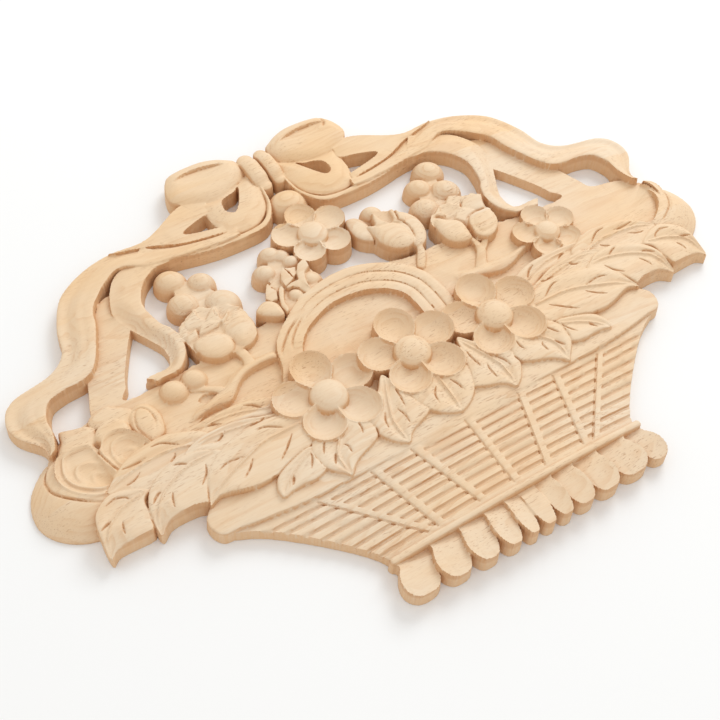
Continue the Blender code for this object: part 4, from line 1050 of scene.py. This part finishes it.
# %% Leaves along the rim of the basket
LEAVES = [
    ([(78, -20), (82, -15.5), (97, -11.6), (124, -12.5), (132, -17), (128, -22), (110, -22),
      (95, -24), (84, -28)],
     [(130, -17), (115, -16), (100, -17), (82, -23)], 9.8, 0.0,
     [[(95, -14.5), (90, -17), (86, -21)], [(125, -16), (118, -16), (113, -17), (108, -20)]]),
    ([(176.5, -26.5), (170, -20), (158, -12.6), (141, -10.1), (133, -11.2), (126, -14.5),
      (118, -20), (120, -32), (135, -38), (150, -38), (158, -37.5), (170, -30.3)],
     [(176, -26.5), (165, -22.5), (143, -20), (128, -23)], 11.2, 1.2,
     [[(167, -27.7), (162, -27), (157, -23.7)], [(147, -14), (141, -14.5), (133, -19.7)],
      [(142, -27), (139, -25), (137, -22.5)], [(165, -18.4), (158, -18.7), (151, -18)]]),
    ([(134.5, -28), (131, -24.5), (122, -21.7), (110, -21.2), (100, -22.7), (91, -26),
      (80, -31), (90, -44), (117, -37.5), (122, -33), (128, -28.7)],
     [(133, -27.5), (120, -25), (96, -28), (84, -33)], 12.2, 0.0,
     [[(119, -28.2), (115, -28), (110, -24.7)], [(98, -29), (93, -29.6), (88.5, -28)]]),
    ([(158, -36), (165, -31), (172, -28.5), (178, -28.7), (187, -36), (189.8, -51),
      (189.3, -59.3), (186.3, -57.3), (182, -56.2), (168, -56.5), (164.5, -55), (163, -48),
      (162, -40)],
     [(189, -59), (187, -51), (181.5, -43.5), (173, -38.5), (163, -36)], 12.0, 4.8,
     [[(188, -45), (184, -43), (181, -42)], [(178, -52), (177.5, -48), (176.3, -45)],
      [(181, -34), (175, -32.2), (170, -33.7), (168, -36)]]),
    ([(117, -36), (122, -31.5), (128, -28.2), (138, -27), (147, -29.4), (155, -33.8),
      (160, -39), (163, -46), (164.4, -54), (163, -60.2), (156, -55.8), (143, -55.6),
      (134, -57.5), (128, -50)],
     [(163, -60), (161, -52), (155, -44), (146, -38), (134, -34), (122, -33)], 13.0, 5.0,
     [[(160, -45), (156, -41.3), (153, -40)], [(151.7, -52), (150.5, -47), (148.5, -43)],
      [(143, -30), (139, -31), (135, -33)], [(135, -48), (130, -43), (127.5, -37)]]),
    ([(136.3, -59.5), (134, -52), (129, -43), (120, -36), (110, -31.7), (98, -30), (84, -31),
      (74, -36), (69, -45), (73, -53), (80, -57), (90, -60.3), (110, -62.4), (126, -58.2),
      (131, -57.6)],
     [(136, -59.3), (130, -54.5), (100, -42.6), (76, -41.5)], 14.0, 2.6,
     [[(124, -45.3), (118, -43.2), (109, -44)], [(115.5, -56), (110, -51.5), (106, -47)],
      [(95.5, -56.5), (88.5, -51), (82, -44.5)], [(98, -34.3), (92, -34.6), (83.5, -39.5)]]),
]
for side in (1, -1):
    for row in LEAVES:
        leaf(*row, side)
report("side leaves")

# %% [markdown]
# ## The basket
#
# The body swells in the middle and narrows to its foot. A plain rim runs along the top; under
# it the weave is cut as long shallow grooves, and upright staves cross them in pairs. The
# weave sinks under the rim towards both sides, so the rim casts a shadow on it there.

# %% Body and rim
RIM_MIDDLE = 13.0
RIM_FALL = 4.2
FOOT_HALF, TOP_WIDER = 75.0, 65.0
WEAVE_SUNK, WEAVE_FALL = 0.5, 2.0
RIM_ROUNDING, RIM_DROP = 1.6, 0.7


def rim_height(x, y):
    """Face of the basket, which swells in the middle and is narrower at its foot."""
    half = FOOT_HALF + TOP_WIDER * soft_step(y, -125.0, 50.0)
    return RIM_MIDDLE - RIM_FALL * np.minimum(np.abs(x) / half, 1.2) ** 2


def weave_height(x, y):
    """Woven panel, which sinks under the rim towards both sides."""
    return rim_height(x, y) - WEAVE_SUNK - WEAVE_FALL * soft_step(np.abs(x), 20.0, 80.0)


def both_sides(edge):
    """Outline from its right half."""
    return np.array(flip(edge[::-1], -1) + edge, float)


BODY_SIDE = [(138, -62), (138.5, -70), (133.5, -75.5), (125, -79.8), (117.5, -84.6),
             (109.5, -91), (100, -99.4), (91, -108), (84, -115.4), (79, -121.6), (76, -127),
             (75.4, -132)]
RIM_SIDE = [(120, -54), (134, -57), (140.5, -62), (141.8, -67), (140.5, -72), (137, -75.5),
            (130, -76), (118, -78.2), (105, -80), (90, -81.3), (70, -82), (40, -82.6)]
slab(both_sides(curve(BODY_SIDE).tolist()), weave_height)
slab(both_sides(curve(RIM_SIDE).tolist()), rim_height, RIM_ROUNDING, RIM_DROP)
report("basket body")

# %% Weave
WEAVE_ROWS = [(-87, 3.0, 126), (-92, 2.8, 114), (-97, 1.7, 105), (-102.2, 1.2, 98),
              (-107.4, 0.7, 92), (-112.4, 0.4, 87), (-117.7, 0.2, 82), (-122.8, 0.0, 78.5)]
WEAVE_WIDTH, WEAVE_DEPTH = 2.0, 1.15


def channel(points, width, deep):
    """Cut of even width with a round bottom and steep sides."""
    path = curve(points)
    part, x, y = window(path)
    share = np.clip(1.0 - nearest(path, x, y)[0] / (0.5 * width), 0.0, 1.0)
    Z[part] -= deep * np.clip(2.2 * share, 0.0, 1.0) ** 0.5


def row_line(middle, lift, half):
    """Centre of a groove, which rises a little towards both ends."""
    return [(x, middle + lift * (x / half) ** 2) for x in np.linspace(-half, half, 15)]


for row in WEAVE_ROWS:
    channel(row_line(*row), WEAVE_WIDTH, WEAVE_DEPTH)
report("weave")

# %% Staves
STAVES = [(-87.5, -49), (-56.5, -44), (-32.5, -19.5), (0.8, 0.8), (34.5, 20), (58, 45), (89, 51)]
STAVE_HALF, STAVE_RISE = 2.3, 0.1
STAVE_TOP, STAVE_FOOT = -83.0, -126.5
STAVE_CUT, STAVE_CUT_DEPTH = 1.2, 0.7
for top, foot in STAVES:
    left = [(top - STAVE_HALF, STAVE_TOP), (foot - STAVE_HALF, STAVE_FOOT)]
    right = [(top + STAVE_HALF, STAVE_TOP), (foot + STAVE_HALF, STAVE_FOOT)]
    outline = np.array(left + right[::-1])
    part, x, y = window(outline)
    lay(part, weave_height(x, y) + STAVE_RISE, depth_inside(outline, x, y))
    channel(left, STAVE_CUT, STAVE_CUT_DEPTH)
report("staves")

# %% [markdown]
# ## The scalloped foot
#
# A bead closes the weave. Below it hang eleven scallops. Each is cut as a flat facet that
# climbs from its inner side to its outer side, so that they stand out from one another like
# the feathers of a fan, and the one in the middle is level.

# %% Bead and scallops
FOOT_BAND = [(-74, -125), (75, -125), (75, -140), (-74, -140)]
NOTCHES = [-79.0, -59.3, -41.7, -26.0, -13.0, -3.3, 6.9, 17.7, 32.0, 48.6, 68.0, 81.5]
BEAD_ENDS = (-75.0, 76.0)
FOOT_SUNK, FOOT_FALL = 0.9, 4.2
FACET_CLIMB, FACET_CURL = 2.3, 0.4
TIP_LINE, TIP_LIFT = -153.7, 1.5
SHOULDER, WAIST = -147.2, -142.5
LEAN = [(0.985, -138.0), (0.95, -133.5), (0.93, -130.5)]
BEAD_LINE, BEAD_HALF, BEAD_CROWN = -129.3, 2.3, 1.9
BEAD_SUNK = 0.3
BEAD_CUT = 0.9


def scallop_edge(left, right):
    """Outline of one scallop between the notches on its two sides."""
    middle = 0.5 * (left + right)
    half = 0.5 * (right - left)
    tip = TIP_LINE + TIP_LIFT * (middle / 70.0) ** 2
    down = [(share * left, y) for share, y in LEAN]
    up = [(share * right, y) for share, y in LEAN[::-1]]
    return ([(left + 0.05 * half, SHOULDER), (left - 0.2, WAIST)] + down + up
            + [(right + 0.2, WAIST), (right - 0.05 * half, SHOULDER),
               (middle + 0.58 * half, tip + 1.1), (middle, tip),
               (middle - 0.58 * half, tip + 1.1)])


slab(np.array(FOOT_BAND, float), weave_height)
scallops = list(zip(NOTCHES[:-1], NOTCHES[1:]))
for left, right in sorted(scallops, key=lambda pair: -abs(pair[0] + pair[1])):
    middle = 0.5 * (left + right)
    edge = ring(scallop_edge(left, right))
    part, x, y = window(edge)
    depth = depth_inside(edge, x, y)
    outward = 2.0 * (x - middle) / (right - left) * np.sign(round(middle / 10.0))
    crown = RIM_MIDDLE - FOOT_SUNK - FOOT_FALL * (middle / 80.0) ** 2
    facet = 0.5 * FACET_CLIMB * outward + FACET_CURL * outward ** 2
    lay(part, crown + facet - BEAD_CUT * soft_step(y, -137.0, 5.0), depth)
bead = [(x, BEAD_LINE, BEAD_HALF, rim_height(x, BEAD_LINE) - BEAD_SUNK)
        for x in np.linspace(*BEAD_ENDS, 9)]
cord(bead, BEAD_CROWN)
report("foot")

# %% [markdown]
# ## Leaves over the rim
#
# Seven leaves hang over the rim and follow the swell of the basket, so their height is the
# rim's height plus a little.

# %% Rim leaves
RIM_LEAF_RISE, RIM_LEAF_DROOP = 2.4, 0.8


def rim_leaf_top(x, y):
    """Leaves that hang over the rim lie on it."""
    return rim_height(x, y) + RIM_LEAF_RISE


RIM_LEAVES = [
    ([(78, -56), (90, -58), (100, -62), (103.5, -66.5), (104.6, -70.5), (103.2, -74.5),
      (98, -73.4), (92, -73.1), (86, -73.8), (80, -72.7), (76.5, -70), (76, -64)],
     [(103, -74), (97, -68), (89, -63), (80, -59)],
     [[(96.8, -71), (94.5, -68), (93.5, -66)], [(84.3, -68), (81, -63), (79.5, -59)]]),
    ([(44, -60), (44.5, -66), (46, -69), (51, -71.7), (56, -73.2), (61, -75.2), (65, -78.2),
      (68.6, -81.2), (71, -78.7), (75, -74.7), (78, -70.3), (79, -65), (79, -59), (74, -53),
      (60, -50), (48, -52)],
     [(68.6, -81), (69.6, -73.5), (68.3, -66.5), (64, -60.7), (60, -56)],
     [[(62.3, -71), (61.7, -66), (63.2, -63.7)], [(73, -72.3), (70.3, -67.7), (69.3, -66)],
      [(75, -64.2), (72, -59.2), (70, -57)], [(51.7, -64), (50.3, -60), (50.8, -56)]]),
    ([(44, -58), (44, -65), (44.7, -68.7), (42.7, -72.3), (39, -77.3), (33.5, -80.4),
      (30, -76.7), (26, -74.3), (21, -72.7), (16, -70.5), (14, -68), (17, -60), (20, -50),
      (24, -38), (31, -45)],
     [(33.8, -79.8), (34.7, -71), (33.7, -63), (29.7, -53), (24, -41)],
     [[(38.7, -68.3), (37.7, -63.3), (34.7, -58.3)], [(27.7, -71.3), (27.2, -65.3), (28.7, -59.7)],
      [(24.5, -62), (23.3, -55), (22.8, -48)]]),
]
RIM_CENTRE = ([(-17, -52), (-18, -59), (-16, -65), (-13, -71), (-7, -76), (0, -78.7), (7, -76),
               (13, -71), (16, -65), (18, -59), (17, -52), (0, -45)],
              [(0, -78.5), (0.5, -68), (0.5, -55)],
              [[(-8, -69.3), (-7, -63.3), (-3, -58.3)], [(8, -69.3), (7, -63.3), (5, -58.3)]])
for side in (1, -1):
    for outline, rib, nicks in RIM_LEAVES:
        leaf(outline, rib, rim_leaf_top, RIM_LEAF_DROOP, nicks, side)
outline, rib, nicks = RIM_CENTRE
leaf(outline, rib, rim_leaf_top, RIM_LEAF_DROOP, nicks)
report("rim leaves")

# %% [markdown]
# The three large flowers were carved last, because they lie over the leaves and the handle.
# Their petals are laid over what is there instead of being joined to it, so each bowl is
# clean of the leaf under it. The middle flower stands a little higher than the other two.

# %% Large flowers
LARGE_REACH, LARGE_HALF, LARGE_DEPTH = (30.4, 29.8), 11.7, 6.0
BALL = 11.0
LARGE_FLOWERS = [((-54.0, -33.6), 16.0, 18.2), ((52.2, -34.2), 16.0, 18.2),
                 ((-0.8, -32.2), 16.6, 18.6)]
for centre, rim, top in LARGE_FLOWERS:
    flower(centre, LARGE_REACH, LARGE_HALF, rim, LARGE_DEPTH, BALL, top, over=True)
report("large flowers")

# %% [markdown]
# ## From heights to a mesh
#
# A grid takes the heights. It is even everywhere, so Decimate takes most of the triangles out
# of the flat places and leaves them at the edges. Only then is the mesh cut level with the
# back, because Decimate would leave a rough edge there, and the cut has to be a true plane:
# the back is the face that is glued. What is sawn away lies under that plane and falls off.

# %% Grid
TRIANGLES = 190000


def board_mesh():
    """Grid at the carved heights, still open underneath."""
    rows, columns = X.shape
    board = bmesh.new()
    bmesh.ops.create_grid(board, x_segments=columns - 1, y_segments=rows - 1, size=1.0)
    mesh = bpy.data.meshes.new("carved board")
    board.to_mesh(mesh)
    board.free()
    place = np.empty(len(mesh.vertices) * 3)
    mesh.vertices.foreach_get("co", place)
    place = place.reshape(-1, 3)
    i = np.rint((place[:, 0] + 1.0) * 0.5 * (columns - 1)).astype(int)
    j = np.rint((place[:, 1] + 1.0) * 0.5 * (rows - 1)).astype(int)
    place = np.stack([X[j, i], Y[j, i], Z[j, i]], axis=1) * MM
    mesh.vertices.foreach_set("co", place.ravel())
    mesh.update()
    return mesh


applique = bpy.data.objects.new("carved_applique", board_mesh())
bpy.context.scene.collection.objects.link(applique)
print("grid of", len(applique.data.polygons), "faces")

# %% Fewer triangles
def apply_modifiers(piece):
    """Replace a piece's mesh by what its modifiers make of it."""
    graph = bpy.context.evaluated_depsgraph_get()
    made = bpy.data.meshes.new_from_object(piece.evaluated_get(graph))
    piece.modifiers.clear()
    piece.data = made


thin = applique.modifiers.new("fewer triangles", "DECIMATE")
thin.use_collapse_triangulate = True
thin.ratio = min(1.0, TRIANGLES / (2.0 * len(applique.data.polygons)))
apply_modifiers(applique)
print("thinned to", len(applique.data.polygons), "triangles")

# %% Flat back
def cut_back(mesh):
    """Cut a mesh level with the back and close it there."""
    board = bmesh.new()
    board.from_mesh(mesh)
    every = board.verts[:] + board.edges[:] + board.faces[:]
    cut = bmesh.ops.bisect_plane(board, geom=every, dist=1e-7, plane_co=(0.0, 0.0, 0.0),
                                 plane_no=(0.0, 0.0, 1.0), clear_inner=True)
    rim = [part for part in cut["geom_cut"] if isinstance(part, bmesh.types.BMEdge)]
    bmesh.ops.triangle_fill(board, edges=rim, use_beauty=True)
    bmesh.ops.recalc_face_normals(board, faces=board.faces)
    open_edges = sum(1 for e in board.edges if not e.is_manifold)
    board.to_mesh(mesh)
    board.free()
    return open_edges


def keep_in_box(mesh, low, high):
    """Move what stands outside a box onto its sides."""
    place = np.empty(len(mesh.vertices) * 3)
    mesh.vertices.foreach_get("co", place)
    place = place.reshape(-1, 3)
    inside = np.clip(place, low, high)
    mesh.vertices.foreach_set("co", inside.ravel())
    return float(np.abs(place - inside).max())


print("open edges", cut_back(applique.data))
moved = keep_in_box(applique.data, tuple(cad_box[0]), tuple(cad_box[1]))
print("carving of", len(applique.data.polygons), "triangles")
print("trimmed by", round(moved / MM, 3), "mm")

# %% Shading
CREASE = 52.0
applique.data.shade_smooth()
applique.data.set_sharp_from_angle(angle=math.radians(CREASE))
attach(applique, "root")
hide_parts(NODE)
print("sharp edges", sum(1 for edge in applique.data.edges if edge.use_edge_sharp))

# %% [markdown]
# ## The wood
#
# The wood is raw: no stain and no varnish. What is seen is its own structure: short dark
# pores that all run along the board, faint growth rings that come to the surface as bands
# where the carving is curved, and tone that changes from one glued stave to the next. A
# picture wrapped over the carving would slide down its walls. A solid texture doesn't: it
# fills the space, and the carving cuts through it as the gouge did, so the end of a
# berry shows end grain by itself.

# %% Shader arithmetic
class Value:
    """A socket in a finish; arithmetic on it adds Math nodes."""

    def __init__(self, finish, socket):
        self.finish = finish
        self.socket = socket

    def math(self, operation, *values):
        """Math node on this value and others."""
        inputs = dict(enumerate((self,) + values))
        return self.finish.node("ShaderNodeMath", {"operation": operation}, inputs)

    def swapped(self, operation, other):
        """Math node with another value first."""
        return self.finish.node("ShaderNodeMath", {"operation": operation}, {0: other, 1: self})

    def __add__(self, other):
        return self.math("ADD", other)

    def __mul__(self, other):
        return self.math("MULTIPLY", other)

    def __sub__(self, other):
        return self.math("SUBTRACT", other)

    def __truediv__(self, other):
        return self.math("DIVIDE", other)

    def __pow__(self, other):
        return self.math("POWER", other)

    def __rsub__(self, other):
        return self.swapped("SUBTRACT", other)

    __radd__ = __add__
    __rmul__ = __mul__

    def ramp(self, low, high):
        """0 under low, 1 over high, soft between."""
        settings = {"interpolation_type": "SMOOTHSTEP"}
        return self.finish.node("ShaderNodeMapRange", settings, {0: self, 1: low, 2: high})


class Finish:
    """A material while it is being made."""

    def __init__(self, name):
        self.material = bpy.data.materials.new(name)
        self.material.use_nodes = True
        self.tree = self.material.node_tree
        self.surface = self.tree.nodes["Principled BSDF"]

    def node(self, kind, settings=None, inputs=None, out=0):
        """Any node: its type, its settings, its inputs, and the output that is wanted."""
        made = self.tree.nodes.new(kind)
        for name, setting in (settings or {}).items():
            setattr(made, name, setting)
        for name, value in (inputs or {}).items():
            self.feed(made, name, value)
        return Value(self, made.outputs[out])

    def feed(self, made, name, value):
        """Link a value to an input, or set a number on it."""
        if isinstance(value, Value):
            self.tree.links.new(value.socket, made.inputs[name])
        else:
            made.inputs[name].default_value = value

    def mix(self, share, first, second):
        """Colour between two colours."""
        inputs = {0: share, 6: first, 7: second}
        return self.node("ShaderNodeMix", {"data_type": "RGBA"}, inputs, 2)

    def stretch(self, place, scales):
        """Place with each axis scaled on its own."""
        return self.node("ShaderNodeVectorMath", {"operation": "MULTIPLY"}, {0: place, 1: scales})

    def noise(self, place, scales, detail=2.0, roughness=0.5):
        """Noise in a stretched space."""
        inputs = {"Vector": self.stretch(place, scales), "Scale": 1.0, "Detail": detail,
                  "Roughness": roughness}
        return self.node("ShaderNodeTexNoise", {}, inputs)

    def tell(self, step):
        """Say how far the finish has come."""
        print(step, "done,", len(self.tree.nodes), "nodes")


def linear(red, green, blue):
    """Colour from screen values of 0 to 255."""
    lights = []
    for level in (red / 255.0, green / 255.0, blue / 255.0):
        lights.append(level / 12.92 if level <= 0.04045 else ((level + 0.055) / 1.055) ** 2.4)
    return tuple(lights) + (1.0,)


wood = Finish("raw_wood")
wood.tell("bare finish")

# %% Where the wood is
MILLIMETRES = (1000.0, 1000.0, 1000.0)
place = wood.node("ShaderNodeTexCoord", {}, {}, "Object")
place = wood.stretch(place, MILLIMETRES)
axes = wood.node("ShaderNodeSeparateXYZ", {}, {0: place})
across = Value(wood, axes.socket.node.outputs[1])
out = Value(wood, axes.socket.node.outputs[2])
wood.tell("place")

# %% [markdown]
# The board is glued from staves about 50 mm wide, and their edges run along X. Each stave
# comes from another plank, so each gets its own tone and its own ring pattern. One number
# per stave does that: White Noise turns the stave's index into it.

# %% Staves
STAVE_WIDTH = 52.0
STAVE_START = 21.0
SHIFT_ALONG, SHIFT_ACROSS = 170.0, 60.0
index = ((across + STAVE_START) / STAVE_WIDTH).math("FLOOR")
chance = wood.node("ShaderNodeTexWhiteNoise", {"noise_dimensions": "1D"}, {"W": index}, "Value")
shift = wood.node("ShaderNodeCombineXYZ", {}, {0: chance * SHIFT_ALONG,
                                               1: chance * SHIFT_ACROSS})
grain_place = wood.node("ShaderNodeVectorMath", {"operation": "ADD"}, {0: place, 1: shift})
wood.tell("staves")

# %% Growth rings
RING_DEPTH = 55.0
RING_WIDTH = 1.9
HEART_STRAY = 40.0
RING_WANDER = 14.0
in_stave = across - (index + 0.5) * STAVE_WIDTH + STAVE_START + (chance - 0.5) * HEART_STRAY
wander = wood.noise(grain_place, (0.008, 0.03, 0.04), 3.0, 0.5)
radius = (in_stave * in_stave + (out + RING_DEPTH) ** 2.0).math("SQRT") + wander * RING_WANDER
phase = (radius / RING_WIDTH).math("FRACT")
late = phase.ramp(0.30, 0.92) * (1.0 - phase.ramp(0.92, 1.0))
faint = wood.noise(grain_place, (0.015, 0.12, 0.12), 2.0)
rings = late * faint.ramp(0.35, 0.72)
wood.tell("rings")

# %% Pores
fibres = wood.noise(grain_place, (0.05, 1.5, 1.5), 3.0, 0.6)
pores = wood.noise(grain_place, (0.20, 2.2, 2.2), 1.0, 0.4).ramp(0.62, 0.70)
crowd = wood.noise(grain_place, (0.012, 0.05, 0.05), 2.0).ramp(0.44, 0.68)
pores = pores * (0.15 + crowd * 0.85)
clouds = wood.noise(grain_place, (0.012, 0.03, 0.03), 3.0)
wood.tell("pores")

# %% [markdown]
# Faces that look out of the board are sanded and pale. Walls are as the saw and the gouge
# left them: a little darker, and ribbed from front to back; their darker tone is partly
# their own grain and partly painted shade. The way a face looks is read from its normal,
# which is the same from wherever the camera stands. The steps high on the board, around
# leaves and petals, were cut across the grain and are darker still, partly from that grain
# and partly as painted shade. In the cuts and hollows a redder painted shade is laid on:
# Ambient Occlusion finds those places.

# %% Faces, walls and hollows
CUT_REACH = 0.004
facing = wood.node("ShaderNodeNewGeometry", {}, {}, "Normal")
facing = wood.node("ShaderNodeSeparateXYZ", {}, {0: facing}, 2)
wall = 1.0 - facing.ramp(0.15, 0.85)
steep = 1.0 - facing.ramp(0.05, 0.45)
open_to_air = wood.node("ShaderNodeAmbientOcclusion", {"samples": 6, "only_local": True},
                        {"Distance": CUT_REACH}, "AO")
# Painted shade: how closed in each place is, from Ambient Occlusion.
painted_hollow_shade = 1.0 - open_to_air
ribs = wood.noise(place, (0.75, 0.75, 0.04), 2.0, 0.6)
blotches = wood.noise(place, (0.07, 0.10, 0.10), 3.0, 0.6)
wood.tell("walls and hollows")

# %% Colour
PALE = linear(225, 205, 179)
TAN = linear(227, 191, 146)
PINK = linear(208, 162, 115)
# Wall tone: partly end grain and saw marks, partly painted shade on the walls.
WALL_GRAIN_AND_SHADE = linear(217, 174, 128)
# Redder painted shade, laid on the high steps and in the cuts and hollows.
PAINTED_SHADE = linear(196, 144, 96)
PORE = linear(168, 118, 80)
colour = wood.mix(clouds.ramp(0.3, 0.7) * 0.5 + chance * 0.5, PALE, TAN)
LAYERS = [
    (rings * 0.42, PINK),
    (fibres.ramp(0.4, 0.75) * 0.20, PINK),
    # Walls darker by their normal: partly their own grain, partly painted shade.
    (wall * (0.55 + ribs.ramp(0.35, 0.65) * 0.25), WALL_GRAIN_AND_SHADE),
    # Painted shade along the high steps around leaves and petals, over their rough grain.
    (wall * out.ramp(6.5, 8.5) * 0.45, PAINTED_SHADE),
    # Painted shade in the cuts and hollows, broken up by blotches.
    (painted_hollow_shade.ramp(0.10, 0.75) * (0.5 + blotches * 0.5), PAINTED_SHADE),
    (pores * 0.6, PORE)]
for share, tone in LAYERS:
    colour = wood.mix(share, colour, tone)
wood.feed(wood.surface, "Base Color", colour)
wood.feed(wood.surface, "Roughness", 0.60 + fibres * 0.12 - rings * 0.05)
wood.surface.inputs["Specular IOR Level"].default_value = 0.5
wood.tell("colour")

# %% Bump
relief = fibres * 0.3 - pores * 0.6 + steep * ribs * 1.3
bump = wood.node("ShaderNodeBump", {}, {"Strength": 0.4, "Distance": 0.0004, "Height": relief})
wood.feed(wood.surface, "Normal", bump)
applique.data.materials.clear()
applique.data.materials.append(wood.material)
wood.tell("bump")

# %% [markdown]
# ## Floor and light
#
# The carving lies on a white table under a large soft light from the right, with white
# walls around it. A big area light and a bright world give that: soft edged shadows to the
# left, and no dark side. The lamp is a little cooler than the walls, so the lit faces are
# paler and the cuts stay warm.

# %% Floor
FLOOR_HALF = 3.0
FLOOR_GAP = 0.0002
FLOOR_WHITE = (0.86, 0.86, 0.86, 1.0)
board = bmesh.new()
bmesh.ops.create_grid(board, x_segments=1, y_segments=1, size=FLOOR_HALF)
mesh = bpy.data.meshes.new("floor")
board.to_mesh(mesh)
board.free()
floor = bpy.data.objects.new("floor", mesh)
floor.location.z = -FLOOR_GAP
bpy.context.scene.collection.objects.link(floor)
paint = Finish("floor_paint")
paint.surface.inputs["Base Color"].default_value = FLOOR_WHITE
paint.surface.inputs["Roughness"].default_value = 0.9
paint.surface.inputs["Specular IOR Level"].default_value = 0.1
mesh.materials.append(paint.material)
print("floor", 2.0 * FLOOR_HALF, "m wide")

# %% Light
SKY_TINT, SKY_STRENGTH = (1.0, 0.985, 0.96, 1.0), 0.92
KEY_PLACE, KEY_SIZE = (1.15, 0.75, 1.1), 0.8
KEY_POWER, KEY_TINT = 14.2, (0.93, 0.985, 1.02)
world = bpy.data.worlds.new("studio")
world.use_nodes = True
sky = world.node_tree.nodes["Background"]
sky.inputs["Color"].default_value = SKY_TINT
sky.inputs["Strength"].default_value = SKY_STRENGTH
bpy.context.scene.world = world


def softbox(name, place, target, size, power, tint):
    """Square area light that faces a place."""
    lamp = bpy.data.lights.new(name, "AREA")
    lamp.size = size
    lamp.energy = power
    lamp.color = tint
    box = bpy.data.objects.new(name, lamp)
    box.location = place
    aim = Vector(place) - Vector(target)
    box.rotation_euler = aim.to_track_quat("Z", "Y").to_euler()
    bpy.context.scene.collection.objects.link(box)


softbox("key", KEY_PLACE, (0.0, 0.0, 0.0), KEY_SIZE, KEY_POWER, KEY_TINT)
bpy.context.scene.view_settings.view_transform = "Standard"
